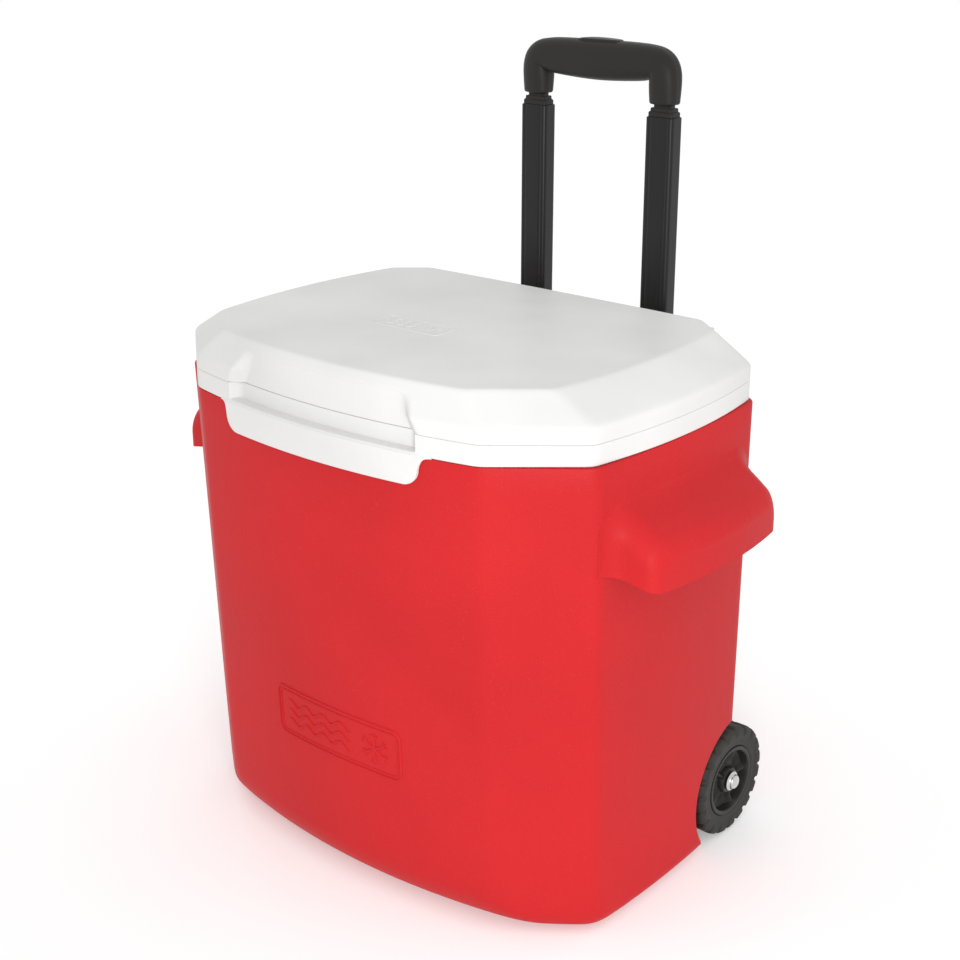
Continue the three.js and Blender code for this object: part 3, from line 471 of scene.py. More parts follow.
def make_hood(side):
    """The hood's sheet, given its wall inwards and softened along its lower rim."""
    points, faces = hood_sheet()
    if side < 0:
        points, faces = mirrored(points, faces)
    mesh = bpy.data.meshes.new("hood")
    mesh.from_pydata(to_frame(points).tolist(), [], np.asarray(faces).tolist())
    work = bmesh.new()
    work.from_mesh(mesh)
    bmesh.ops.remove_doubles(work, verts=work.verts, dist=2e-6)
    bmesh.ops.recalc_face_normals(work, faces=work.faces)
    work.to_mesh(mesh)
    work.free()
    made = bpy.data.objects.new("hood", mesh)
    bpy.context.scene.collection.objects.link(made)
    lean = np.zeros(len(mesh.polygons) * 3)
    mesh.polygons.foreach_get("normal", lean)
    if lean[0::3].sum() * side < 0:
        mesh.flip_normals()
    shell = made.modifiers.new("wall", "SOLIDIFY")
    shell.thickness = HOOD_WALL * 0.001
    shell.offset = -1
    shell.use_even_offset = True
    baked(made)
    soften(made, 2.2, 3, 60.0)
    return made


def make_tub(softness, lip):
    """Outside with both hoods, less the wheel wells, tilt wedge and inside."""
    tub = raw_object("tub", *tub_body(0.0, 3, 20, softness, TUB_WIDE))
    combine(tub, [make_hood(1), make_hood(-1)], "UNION")
    wells = [raw_object("well", *wheel_well(0.0, lip)), raw_object("well", *mirrored(*wheel_well(0.0, lip)))]
    combine(tub, wells + [raw_object("wedge", *tilt_wedge(0.0))], "DIFFERENCE")
    inside = raw_object("inside", *tub_body(WALL, 8, 9, softness, 0.0))
    grown = [raw_object("well", *wheel_well(WALL, 0)), raw_object("well", *mirrored(*wheel_well(WALL, 0)))]
    channel = block_between((-160, WHEEL_Y - 9, -50), (160, WHEEL_Y + 9, WHEEL_RADIUS + 9))
    grown += [raw_object("wedge", *tilt_wedge(WALL)), raw_object("slot", *channel)]
    combine(inside, grown, "DIFFERENCE")
    slot = block_between((-157, WHEEL_Y - 6, -50), (157, WHEEL_Y + 6, WHEEL_RADIUS + 6))
    bore = tube_rows(AXLE_RADIUS, np.array([-170.0, 170.0]), WHEEL_Y, WHEEL_RADIUS)
    combine(tub, [inside, raw_object("slot", *slot), raw_object("bore", *bore)], "DIFFERENCE")
    return tub


def tube_rows(radius, places, y, z):
    """A closed round bar along x."""
    turn = np.linspace(0, 2 * np.pi, 24, endpoint=False)
    ring = np.column_stack([y + radius * np.cos(turn), z + radius * np.sin(turn)])
    return closed_fan(np.array([np.column_stack([np.full(24, x), ring]) for x in places]))


# ------------------------------------------------------------------ raised lines
def stroke(path, width, height, closed=False):
    """A raised line as (across, up, out): a half ellipse carried along a flat path.

    On an open path the width and height fall to a point at both ends.
    """
    path = np.asarray(path, float)
    if closed:
        ahead = np.roll(path, -1, axis=0) - np.roll(path, 1, axis=0)
    else:
        ahead = np.gradient(path, axis=0)
    ahead /= np.linalg.norm(ahead, axis=1, keepdims=True)
    beside = np.column_stack([-ahead[:, 1], ahead[:, 0]])
    turn = np.linspace(-0.25, np.pi + 0.25, 11)
    size = np.ones(len(path))
    if not closed:
        run = np.linspace(0, 1, len(path))
        size = np.clip(np.minimum(run, 1 - run) * 9, 0, 1) ** 0.5
    offset = np.cos(turn)[None, :] * (width / 2) * size[:, None]
    rise = np.sin(turn)[None, :] * height * size[:, None]
    flat = path[:, None, :] + beside[:, None, :] * offset[:, :, None]
    points = np.concatenate([flat, rise[:, :, None]], axis=-1)
    return points.reshape(-1, 3), grid_faces(len(path), len(turn), closed=True, ring=closed)


def rounded_outline(width, height, radius, steps=10):
    """A rounded rectangle's outline as points."""
    turn = np.linspace(0, np.pi / 2, steps)
    corners = []
    for index, (sx, sy) in enumerate([(1, 1), (-1, 1), (-1, -1), (1, -1)]):
        angle = turn + index * np.pi / 2
        centre = np.array([sx * (width / 2 - radius), sy * (height / 2 - radius)])
        corners.append(centre + radius * np.column_stack([np.cos(angle), np.sin(angle)]))
    outline = np.vstack(corners)
    filled = []
    for a, b in zip(outline, np.roll(outline, -1, axis=0)):
        count = max(1, int(np.linalg.norm(b - a) // 4))
        filled.append(a + (b - a) * (np.arange(count) / count)[:, None])
    return np.vstack(filled)


def emblem_strokes(width, height, line, rise):
    """A rounded frame, three waves and a six-armed crystal, as raised lines."""
    strokes = [stroke(rounded_outline(width, height, height * 0.16), line, rise, closed=True)]
    inner = rounded_outline(width - 3.4 * line, height - 3.4 * line, height * 0.1)
    strokes.append(stroke(inner, line * 0.6, rise * 0.6, closed=True))
    run = np.linspace(-0.42, 0.13, 60)
    for level in (-0.2, 0.0, 0.2):
        wave = 0.06 * np.sin(run * 44)
        strokes.append(stroke(np.column_stack([run * width, (level + wave) * height]), line, rise))
    centre, arm = np.array([0.31 * width, 0.0]), 0.33 * height
    for turn in np.radians([30, 90, 150]):
        ray = np.array([np.cos(turn), np.sin(turn)])
        strokes.append(stroke(centre + ray * np.linspace(-arm, arm, 24)[:, None], line, rise))
        for end in (-1, 1):
            tip = centre + ray * end * arm * 0.62
            for lean in (-0.7, 0.7):
                twig = np.array([np.cos(turn + lean), np.sin(turn + lean)]) * end
                path = tip + twig * np.linspace(0, arm * 0.34, 10)[:, None]
                strokes.append(stroke(path, line * 0.8, rise * 0.9))
    return strokes


def make_front_badge(rise):
    """The emblem laid on the tub's bowed and leaning front: out is measured from the face."""
    parts = []
    for points, faces in emblem_strokes(129.0, 42.0, 1.9, rise):
        across, up, out = points.T
        x, z = 4.5 + across, 131.0 + up
        face = face_at("front", OVERHANG + DRAFT["front"] * (1 - z / RIM), x)
        parts.append((np.column_stack([x, -face - out, z]), faces))
    return join_parts("front_emblem", parts)


def make_lid_emblem(rise):
    """The small emblem on the flat middle of the lid's top."""
    parts = []
    for points, faces in emblem_strokes(66.0, 25.0, 1.5, rise):
        across, up, out = points.T
        x, y = -12.0 + across, -42.0 + up
        crown = LID_CROWN * (1 - (y / 145.0) ** 2) - 0.1
        parts.append((np.column_stack([x, y, LID_TOP + crown + out]), faces))
    return join_parts("lid_emblem", parts)


# ------------------------------------------------------------------ lid
def lid_columns():
    """Outline points used on the lid: fine by the ends of the finger recess, coarser elsewhere."""
    index = np.arange(RING_POINTS)
    x = -141.0 + index
    near = (index < 281) & (np.abs(np.abs(x) - 89) < 11)
    return np.flatnonzero(near | (index % 4 == 0))


def recess_depth(x):
    """How deep the finger recess is at x: flat in the middle, a quarter round at its ends."""
    end = (np.abs(x) - (RECESS_HALF - RECESS_CORNER)) / RECESS_CORNER
    rounded = RECESS_CORNER * np.sqrt(1 - np.clip(end, 0, 1) ** 2) - (RECESS_CORNER - RECESS_DEPTH)
    depth = rounded - 6.0 * np.clip(end - 1, 0, None)
    return 0.5 * (depth + np.sqrt(depth**2 + 0.5)) - 0.015


def with_recess(rings, columns, pull, share, spread=1.0):
    """Moves the front of each row back by pull x share(spread x)."""
    front = columns < FRONT_STEPS + 1
    rings[:, front, 1] += pull[:, None] * share(rings[:, front, 0] * np.reshape(spread, (-1, 1)))
    return rings


def band_share(x):
    """The recess's share in the band: a quarter round at its ends."""
    return recess_depth(x) / RECESS_DEPTH


def shell_share(x):
    """The recess's share above the band: a wide smooth step, 3 t^2 - 2 t^3, at its ends."""
    t = np.clip((97.0 - np.abs(x)) / 15.0, 0, 1)
    return 3 * t**2 - 2 * t**3


def blurred(values, softness):
    """Values along a profile, blurred by a Gaussian and held at both ends."""
    reach = int(3 * softness) + 1
    weight = np.exp(-0.5 * (np.arange(-reach, reach + 1) / softness) ** 2)
    before = 2 * values[0] - values[reach:0:-1]
    after = 2 * values[-1] - values[-2 : -reach - 2 : -1]
    padded = np.concatenate([before, values, after])
    return np.convolve(padded, weight / weight.sum(), mode="valid")


def upper_profile(inset, crease):
    """The upper shell's profile from its edge to the crown: heights and an inset for each face."""
    stops = np.array([PARTING + GAP, LID_SIDE_TOP - 2.0, LID_SIDE_TOP, LID_TOP, LID_TOP + 0.06])
    length = np.array([0.0, 11.0, 14.0, 40.0, 47.0])
    along = np.arange(0, 47.5, 0.8)
    lift = np.interp(along, length, stops)
    heights = blurred(lift, crease / 0.8) - inset
    heights[0] = stops[0]
    insets = {}
    for face in PLAN_FACES:
        bevel = BEVEL[face]
        steps = [0.0, 0.0, 1.8, bevel, bevel + 7]
        insets[face] = blurred(np.interp(along, length, steps), crease / 0.8) + inset
    leaning = RECESS_DEPTH + RECESS_LEAN * (lift - PARTING) + inset
    behind = leaning - insets["front"]
    pull = blurred(np.where(behind > 0, behind + LEDGE, 0), 1.0)
    spread = 1 + RECESS_TAPER * (lift - PARTING)
    return heights, insets, pull, spread


def crowned(rows):
    """Rows carried on to the middle: the last one shrinks by k while the height adds crown (1 - k^2)."""
    shares = np.linspace(0.95, 0.1, 14)[:, None, None]
    more = rows[-1:] * shares
    more[:, :, 2] = rows[-1, :, 2] + LID_CROWN * (1 - shares[:, :, 0] ** 2)
    return np.concatenate([rows, more])


def make_upper_shell(softness, crease):
    """The lid's top: an outer and an inner skin joined round their lower edge."""
    columns = lid_columns()
    heights, insets, pull, spread = upper_profile(0.0, crease)
    outer = with_recess(plan_rings(insets, softness)[:, columns], columns, pull, shell_share, spread)
    outer = crowned(stacked(outer, heights))
    low, low_insets, low_pull, low_spread = upper_profile(WALL, crease)
    low_insets = {face: values[::4] for face, values in low_insets.items()}
    inner = with_recess(plan_rings(low_insets, softness)[:, columns], columns, low_pull[::4], shell_share,
                        low_spread[::4])
    inner = crowned(stacked(inner, np.maximum(low[::4], PARTING + GAP)))
    shell = raw_object("lid_top", *closed_skin(np.concatenate([inner[::-1], outer])))
    return combine(shell, hinge_notches(GAP), "DIFFERENCE")


def hinge_notches(grow):
    """Cutters for the hinge arms and for the clevises above the parting line."""
    cutters = []
    half = 15.0 + grow
    for side in (-1, 1):
        x = side * HINGE_X
        arm = block_between((x - 7, HINGE_Y - 7, RIM - 1), (x + 7, HINGE_Y + 30, RIM + 42))
        clevis = block_between((x - half, HINGE_Y - 8 - grow, PARTING + 1), (x + half, HINGE_Y + 30, RIM + 42))
        cutters += [raw_object("notch", *arm), raw_object("notch", *clevis)]
    return cutters


def make_lower_shell(softness):
    """The lid's tray: underside plug, flange, band and the inside, as one closed skin of rings."""
    columns = lid_columns()
    turn = np.linspace(0, np.pi / 2, 5)
    plug = PLUG_INSET
    low = RIM - PLUG_DROP
    steps = [(plug + 3 * (1 - math.sin(a)), low + 3 * (1 - math.cos(a)), 0) for a in turn]
    steps += [(plug, RIM - 1, 0), (plug - 0.6, RIM + GAP, 0), (1.4, RIM + GAP, 0)]
    steps += [(1.4 * (1 - math.sin(a)), RIM + GAP + 1.4 * (1 - math.cos(a)), 0) for a in turn[1:]]
    floor = [RECESS_FLOOR - 0.6 + 0.12 * k for k in range(9)]
    steps += [(0.0, z, min(1.0, max(0.0, (k - 0.5) / 7))) for k, z in enumerate(floor)]
    steps += [(0.0, RECESS_FLOOR + 1.4, 1), (0.0, RECESS_FLOOR + 5, 1), (0.0, PARTING - 2.0, 1)]
    steps += [(0.7 * (1 - math.cos(a)), PARTING - 0.7 + 0.7 * math.sin(a), 1) for a in turn[1:]]
    steps += [(WALL, PARTING, 1), (WALL, RIM + 4.0, 1), (WALL + 0.6, RIM + 3.2, 1)]
    steps += [(plug + 2.5, RIM + 3.0, 0), (plug + 2.5, low + 2.5, 0)]
    inset, height, share = (np.array(values, float) for values in zip(*steps))
    rings = plan_rings(even(inset), softness)[:, columns]
    rings = with_recess(rings, columns, share * RECESS_DEPTH, band_share)
    tray = raw_object("lid_tray", *closed_skin(stacked(rings, height)))
    combine(tray, [raw_object("tab", *tab_skin())], "UNION")
    return combine(tray, hinge_notches(GAP), "DIFFERENCE")


def tab_skin():
    """The finger tab: columns of a plate that follows the front's bow, with rounded lower edges.

    Its lower end is level in the middle and rises in a quarter ellipse and a flare at each side.
    """
    straight = TAB_HALF - TAB_FLARE - TAB_CORNER
    turn = np.linspace(0, np.pi / 2, 14)
    right = np.concatenate([
        np.linspace(0, straight, 40)[1:],
        straight + TAB_CORNER * np.sin(turn[1:]),
        np.linspace(TAB_HALF - TAB_FLARE, TAB_HALF, 10)[1:],
    ])
    x = np.concatenate([-right[::-1], [0.0], right])
    u = np.abs(x)
    turned = np.clip((u - straight) / TAB_CORNER, 0, 1)
    flared = np.clip((u - straight - TAB_CORNER) / TAB_FLARE, 0, 1)
    out = TAB_PROUD * (1 - flared) - 0.9 * flared
    upper = TAB_DROP - TAB_CORNER
    drop = upper + TAB_CORNER * np.sqrt(1 - turned**2) - (upper - 0.3) * (1 - (1 - flared) ** 4)
    rear_low = -face_at("front", OVERHANG + DRAFT["front"] * drop / RIM, x) - 2 * GAP
    rear_rim = -face_at("front", OVERHANG, x) - 1.2 * GAP
    proud = lambda amount: -face_at("front", -amount, x)
    rounding = np.minimum(1.4, drop * 0.45)
    columns = [(rear_low, RIM - drop + 0.3)]
    columns += [(rear_rim, np.full_like(x, RIM + 0.15)), (rear_rim + 1.9, np.full_like(x, RIM + 2.4))]
    columns += [(proud(-1.2), np.full_like(x, RIM + 3.0)), (proud(out * 0.55), np.full_like(x, RIM + 1.0))]
    columns += [(proud(out * 0.8), RIM - 0.12 * drop), (proud(out), RIM - 0.45 * drop)]
    for angle in np.linspace(0, np.pi / 2, 5):
        back = rounding * (1 - np.cos(angle))
        columns.append((proud(out) + back, RIM - drop + rounding * (1 - np.sin(angle))))
    rows = np.array([np.column_stack([x, y, z]) for y, z in columns]).transpose(1, 0, 2)
    return closed_fan_faces(rows)


# ------------------------------------------------------------------ wheels
def lathe(profile, steps, shape=None):
    """A closed ring or disc turned about the axle: profile rows (radius, out), then shape(r, out, turn)."""
    turn = np.linspace(0, 2 * np.pi, steps, endpoint=False)[None, :]
    radius = np.asarray(profile, float)[:, :1] + 0 * turn
    out = np.asarray(profile, float)[:, 1:] + 0 * turn
    if shape:
        radius, out = shape(radius, out, turn)
    points = np.stack([out, radius * np.cos(turn), radius * np.sin(turn)], -1)
    return points.reshape(-1, 3), grid_faces(len(profile), steps, ring=True)


def on_axle(skin, side, x):
    """Moves a turned skin, whose outside faces +x, onto the axle of that side."""
    points, faces = skin
    placed = np.asarray(points) + [x, WHEEL_Y, WHEEL_RADIUS]
    return mirrored(placed, faces) if side < 0 else (placed, faces)


def tyre_skin(lugs, depth):
    """Tread blocks: the radius drops by depth in the grooves between lugs, which are slanted and
    staggered from one shoulder to the other, and fade out down the side walls."""
    half = WHEEL_WIDTH / 2
    turn = np.linspace(0, np.pi / 2, 9)
    shoulder = [(WHEEL_RADIUS - 5 + 5 * math.cos(a), half - 5 + 5 * math.sin(a)) for a in turn]
    tread = [(WHEEL_RADIUS, v) for v in np.linspace(-half + 5, half - 5, 21)[1:-1]]
    wall = [(WHEEL_RADIUS - 6.5, half), (WHEEL_RADIUS - 8.0, half - 0.2), (WHEEL_RADIUS - 9.0, half - 1.0),
            (WHEEL_RADIUS - 13.0, half - 1.4), (HUB_RADIUS + 1.4, half - 1.4), (HUB_RADIUS + GAP, half - 2.2)]
    outer = shoulder + wall
    inner = [(r, -v) for r, v in outer[::-1]]
    profile = inner + tread + outer

    def cut_lugs(radius, out, angle):
        across = out / half
        phase = lugs * angle / (2 * np.pi) + 0.5 * (across > 0) + 0.22 * np.abs(across)
        wave = np.abs((phase % 1.0) - 0.5) * 2
        groove = 1 / (1 + np.exp((wave - 0.3) * 26))
        middle = 1 / (1 + np.exp((np.abs(across) - 0.1) * 40))
        near = np.clip((radius - (WHEEL_RADIUS - 10)) / 6.0, 0, 1)
        cutting = np.maximum(groove, 0.8 * middle)
        sideways = np.sign(out) * groove * np.clip((np.abs(across) - 0.8) * 5, 0, 1) * 1.1 * near
        return radius - depth * cutting * near, out - sideways

    return lathe(profile, 400, cut_lugs)


def hub_skin():
    """A hub with a raised rim, a deep dish and five ribs that run from the boss to the rim."""
    half = WHEEL_WIDTH / 2
    face = [(HUB_RADIUS, half - 3), (HUB_RADIUS - 0.4, half - 1.6), (HUB_RADIUS - 1.2, half - 1.3),
            (HUB_RADIUS - 2.6, half - 1.3), (HUB_RADIUS - 3.6, half - 2.0), (HUB_RADIUS - 4.4, half - 5)]
    face += [(r, half - 8 - 1.5 * math.sin((r - 12) / 14 * math.pi)) for r in np.linspace(25, 13, 10)]
    face += [(11.4, half - 7.4), (10.8, half - 3.4), (10.0, half - 2.4), (8.4, half - 2.2)]
    face += [(AXLE_RADIUS, half - 2.2)]
    back = [(AXLE_RADIUS, -half + 1.5), (HUB_RADIUS - 1, -half + 1.5), (HUB_RADIUS, -half + 2.5)]
    profile = face + back

    def ribs(radius, out, angle):
        spoke = np.cos(2.5 * angle) ** 12
        inside = np.clip((radius - 10.5) / 1.5, 0, 1) * np.clip((26.5 - radius) / 1.5, 0, 1) * (out > 0)
        return radius, out + 4.6 * spoke * inside

    return lathe(profile, 240, ribs)


def push_nut_skin():
    """A pressed cap nut: a flange, a rolled step and a domed crown."""
    flange = [(8.0, 0.2), (8.2, 0.8), (7.8, 1.3), (6.6, 1.5), (6.1, 2.0), (5.9, 3.2)]
    dome = [(5.9 * math.cos(a), 3.2 + 2.6 * math.sin(a)) for a in np.linspace(0, np.pi / 2, 9)[1:]]
    profile = [(1e-4, 0.0), (7.6, 0.0)] + flange + dome
    return lathe(profile, 48)


# ------------------------------------------------------------------ pull handle
def section_ring(width, depth, radius, grooves=0.0):
    """A rounded rectangle's points; grooves cuts two narrow flutes into the front and rear faces."""
    ring = rounded_outline(width, depth, radius, 8)
    fine = []
    for a, b in zip(ring, np.roll(ring, -1, axis=0)):
        count = max(1, int(np.linalg.norm(b - a) / 0.45))
        fine.append(a + (b - a) * (np.arange(count) / count)[:, None])
    ring = np.vstack(fine)
    place = np.abs(ring[:, 0]) - (width / 2 - radius - 1.6)
    flat = np.abs(np.abs(ring[:, 1]) - depth / 2) < 1e-6
    ring[:, 1] -= np.sign(ring[:, 1]) * flat * grooves * np.exp(-((place / 0.8) ** 2))
    return ring


def hollow_bar(outer, inner, x, low, high, lip=0.4):
    """A tube along z between two heights, its four end edges rounded by lip."""
    count = min(len(outer), len(inner))
    outer = outer[np.linspace(0, len(outer), count, endpoint=False).astype(int)]
    inner = inner[np.linspace(0, len(inner), count, endpoint=False).astype(int)]
    centre = np.array([x, TUBE_Y])
    shrink = 1 - 2 * lip / 20
    rows = [(inner, low), (outer * shrink, low), (outer, low + lip)]
    rows += [(outer, high - lip), (outer * shrink, high), (inner, high)]
    stack = np.array([np.column_stack([ring + centre, np.full(count, z)]) for ring, z in rows])
    return stack.reshape(-1, 3), grid_faces(len(rows), count, ring=True)


def make_tube(name, x, width, depth, wall, radius, low, high, grooves):
    """A drawn tube with two flutes on its front and rear."""
    outer = section_ring(width, depth, radius, grooves)
    inner = section_ring(width - 2 * wall, depth - 2 * wall, max(0.8, radius - wall), 0.0)
    return raw_object(name, *hollow_bar(outer, inner, x, low, high))


def grip_path():
    """The grip's centre line in x and z: up one leg, over the bar and down the other leg."""
    corners = np.array([[-63.5, 200.0], [-63.5, 231.5], [0.0, 229.8], [63.5, 231.5], [63.5, 200.0]])
    lengths = np.linalg.norm(np.diff(corners, axis=0), axis=1)
    stops = np.concatenate([[0], np.cumsum(lengths)])
    along = np.linspace(0, stops[-1], 240)
    step = along[1]
    x = blurred(np.interp(along, stops, corners[:, 0]), 9.5 / step)
    z = blurred(np.interp(along, stops, corners[:, 1]), 9.5 / step)
    z = z + RIM
    return along / stops[-1], np.column_stack([x, z])


def grip_half(side, fullness):
    """Half of the grip: a D section carried along the centre line.

    In the plane of the handle its half height is 12.5 in the legs and 14 to 16.5 in the bar, and
    half its depth is 9.5 at the leg ends and grows to 12. Inside the bends it is 3.2 less high.
    The section is a superellipse whose power is the fullness.
    """
    share, path = grip_path()
    ahead = np.gradient(path, axis=0)
    ahead /= np.linalg.norm(ahead, axis=1, keepdims=True)
    beside = np.column_stack([-ahead[:, 1], ahead[:, 0]])
    middle = np.abs(share - 0.5) * 2
    leg = np.clip((middle - 0.62) / 0.38, 0, 1)
    half = 15.9 - 1.9 * np.clip(middle / 0.55, 0, 1) ** 2 - 1.6 * leg**1.4
    depth = 12.0 - 2.6 * leg**1.6
    tip = np.clip((1 - middle) / 0.016, 0, 1)
    ease = 0.93 + 0.07 * np.sqrt(1 - (1 - tip) ** 2)
    turn = np.linspace(0, np.pi, 25)
    power = 2.0 / fullness
    across = np.sign(np.cos(turn)) * np.abs(np.cos(turn)) ** power
    out = np.sin(turn) ** power
    flat = np.linspace(-1, 1, 9)[1:-1]
    across = np.concatenate([across, flat])
    out = np.concatenate([out, np.zeros(7)])
    seam = np.clip(1 - out / 0.12, 0, 1) ** 2 * 0.018
    hollow = 3.2 * np.exp(-(((middle - 0.67) / 0.12) ** 2))
    halves = np.where(across > 0, half[:, None], (half - hollow)[:, None])
    size = halves * ease[:, None] * (across * (1 - seam))[None, :]
    plane = path[:, None, :] + beside[:, None, :] * size[:, :, None]
    y = TUBE_Y + side * (0.1 + (depth * ease)[:, None] * out[None, :])
    points = np.stack([plane[:, :, 0], y, plane[:, :, 1]], -1)
    return closed_fan_faces(points)


def slot_bar(width, depth, radius, low, high, x=0.0):
    """A solid rounded bar along z, for cutting."""
    ring = rounded_outline(width, depth, radius, 8) + [x, TUBE_Y]
    return closed_fan_faces(np.array([np.column_stack([ring, np.full(len(ring), z)]) for z in (low, high)]))


def make_grip_half(name, side, fullness):
    """A grip half with the room for the inner tubes, the button and its bar."""
    half = raw_object(name, *grip_half(side, fullness))
    low, high = (-TUBE_X - 6, TUBE_Y - 4, INNER_TOP - 0.5), (TUBE_X + 6, TUBE_Y + 4, INNER_TOP + 12)
    slot = slot_bar(42.6, 12.6, 6.2, INNER_TOP, GRIP_TOP + 9)
    cutters = [raw_object("room", *block_between(low, high)), raw_object("slot", *slot)]
    for x in (-TUBE_X, TUBE_X):
        cutters.append(raw_object("socket", *slot_bar(16.6, 10.6, 3.3, GRIP_BOTTOM - 9, INNER_TOP + GAP, x)))
    if side > 0:
        for x in (-44.0, 44.0):
            cutters.append(raw_object("screw_well", *screw_well(x)))
    return combine(half, cutters, "DIFFERENCE")


def screw_well(x):
    """A round well for a screw head in the rear half."""
    turn = np.linspace(0, 2 * np.pi, 28, endpoint=False)
    ring = np.column_stack([x + 4.4 * np.cos(turn), RIM + 239 + 4.4 * np.sin(turn)])
    rows = [np.column_stack([ring[:, 0], np.full(28, y), ring[:, 1]]) for y in (TUBE_Y + 9, TUBE_Y + 30)]
    return closed_fan_faces(np.array(rows))


def button_skin(proud):
    """The release button: a stadium whose top is crowned by proud (1 - r^2) with a rounded edge."""
    ring = rounded_outline(42.0, 12.0, 5.9, 14)
    levels = [(1.0, INNER_TOP + 8), (1.0, GRIP_TOP - 1.2), (0.985, GRIP_TOP + 0.1), (0.94, GRIP_TOP + 0.6)]
    levels += [(s, GRIP_TOP + 0.6 + (proud - 0.6) * (1 - (s / 0.94) ** 2)) for s in (0.8, 0.6, 0.4, 0.2, 0.02)]
    rows = [np.column_stack([ring * s + [0.0, TUBE_Y], np.full(len(ring), z)]) for s, z in levels]
    return closed_fan_faces(np.array(rows))


# ------------------------------------------------------------------ finishes
class Wire:
    """A number in a shader: arithmetic on it adds Math nodes."""

    def __init__(self, finish, socket):
        self.finish = finish
        self.socket = socket

    def __add__(self, other):
        return self.finish.math("ADD", self, other)

    def __sub__(self, other):
        return self.finish.math("SUBTRACT", self, other)

    def __rsub__(self, other):
        return self.finish.math("SUBTRACT", other, self)

    def __mul__(self, other):
        return self.finish.math("MULTIPLY", self, other)

    def __truediv__(self, other):
        return self.finish.math("DIVIDE", self, other)

    def __pow__(self, other):
        return self.finish.math("POWER", self, other)

    __radd__ = __add__
    __rmul__ = __mul__


class Finish:
    """A material under construction, with one Principled shader."""

    def __init__(self, name):
        self.material = bpy.data.materials.new(name)
        self.material.use_nodes = True
        self.tree = self.material.node_tree
        self.shader = self.tree.nodes["Principled BSDF"]
        self.place = self.add("ShaderNodeTexCoord").outputs["Object"]

    def add(self, kind, settings=(), **values):
        node = self.tree.nodes.new(kind)
        for name, value in dict(settings).items():
            setattr(node, name, value)
        for name, value in values.items():
            self.put(node.inputs[name.replace("_", " ")], value)
        return node

    def put(self, socket, value):
        if isinstance(value, Wire):
            value = value.socket
        if isinstance(value, bpy.types.NodeSocket):
            self.tree.links.new(value, socket)
        else:
            socket.default_value = value

    def math(self, operation, *values):
        node = self.tree.nodes.new("ShaderNodeMath")
        node.operation = operation
        for socket, value in zip(node.inputs, values):
            self.put(socket, value)
        return Wire(self, node.outputs[0])

    def noise(self, scale, detail=2.0, rough=0.5, place=None):
        node = self.add("ShaderNodeTexNoise", Vector=place or self.place, Scale=scale, Detail=detail,
                        Roughness=rough)
        return Wire(self, node.outputs[0])

    def cells(self, scale, feature="F1", place=None):
        node = self.add("ShaderNodeTexVoronoi", {"feature": feature}, Vector=place or self.place, Scale=scale)
        return Wire(self, node.outputs["Distance"])

    def stretched(self, x, y, z):
        return self.add("ShaderNodeMapping", Vector=self.place, Scale=(x, y, z)).outputs[0]

    def between(self, value, low, high, out_low=0.0, out_high=1.0):
        node = self.add("ShaderNodeMapRange", {"clamp": True}, Value=value, From_Min=low, From_Max=high,
                        To_Min=out_low, To_Max=out_high)
        return Wire(self, node.outputs[0])

    def mixed(self, share, first, second):
        node = self.tree.nodes.new("ShaderNodeMix")
        node.data_type = "RGBA"
        self.put(node.inputs[0], share)
        self.put(node.inputs[6], first)
        self.put(node.inputs[7], second)
        return node.outputs[2]

    def bump(self, height, strength, distance):
        node = self.add("ShaderNodeBump", Strength=strength, Distance=distance, Height=height)
        self.put(self.shader.inputs["Normal"], node.outputs[0])

    def look(self, **values):
        for name, value in values.items():
            self.put(self.shader.inputs[name.replace("_", " ")], value)
        return self.material


def shade(colour, factor):
    """A colour made lighter or darker, with its alpha."""
    return (*[min(1.0, c * factor) for c in colour[:3]], 1.0)


def pebbled_plastic(name, colour, grain, strength, rough):
    """Moulded plastic with a pebble grain, faint mottling, painted highlights as pale dots on the grain's
    peaks, and pale flecks that are partly wear marks and partly painted glints.
    """
    f = Finish(name)
    pebble = f.cells(grain, "SMOOTH_F1")
    fine = f.noise(grain * 2.1, 3.0)
    height = (1 - pebble) * 0.75 + fine * 0.5
    patch = f.noise(7.0, 3.0)
    wide = f.mixed(f.between(patch, 0.35, 0.65), shade(colour, 0.94), shade(colour, 1.05))
    # Painted highlights: pale dots on the grain's peaks, and pale noise flecks that are partly wear marks and
    # partly painted glints, both mixed into the colour below.
    peak_highlight = f.between(fine * (1 - pebble), 0.42, 0.62)
    scuff_and_glint = f.between(f.noise(160.0, 4.0, 0.7), 0.66, 0.8) * 0.25
    tinted = f.mixed(peak_highlight * 0.07 + scuff_and_glint * 0.3, wide, shade([0.25 + 0.75 * c for c in colour[:3]], 1.15))
    f.bump(height, strength, 0.0004)
    dull = f.between(patch + fine * 0.3, 0.4, 0.9, rough - 0.05, rough + 0.1)
    return f.look(Base_Color=tinted, Roughness=dull, Specular_IOR_Level=0.08)


def smooth_plastic(name, colour, rough, grain=900.0, strength=0.12):
    """Satin moulded plastic: a very fine grain, soft flow marks and slight wear in its gloss."""
    f = Finish(name)
    flow = f.noise(5.0, 4.0, 0.6)
    fine = f.noise(grain, 3.0)
    tone = f.mixed(f.between(flow, 0.3, 0.7), shade(colour, 0.965), shade(colour, 1.02))
    f.bump(fine, strength, 0.0002)
    dull = f.between(flow + fine * 0.25, 0.35, 0.9, rough - 0.06, rough + 0.08)
    return f.look(Base_Color=tone, Roughness=dull, Specular_IOR_Level=0.25)


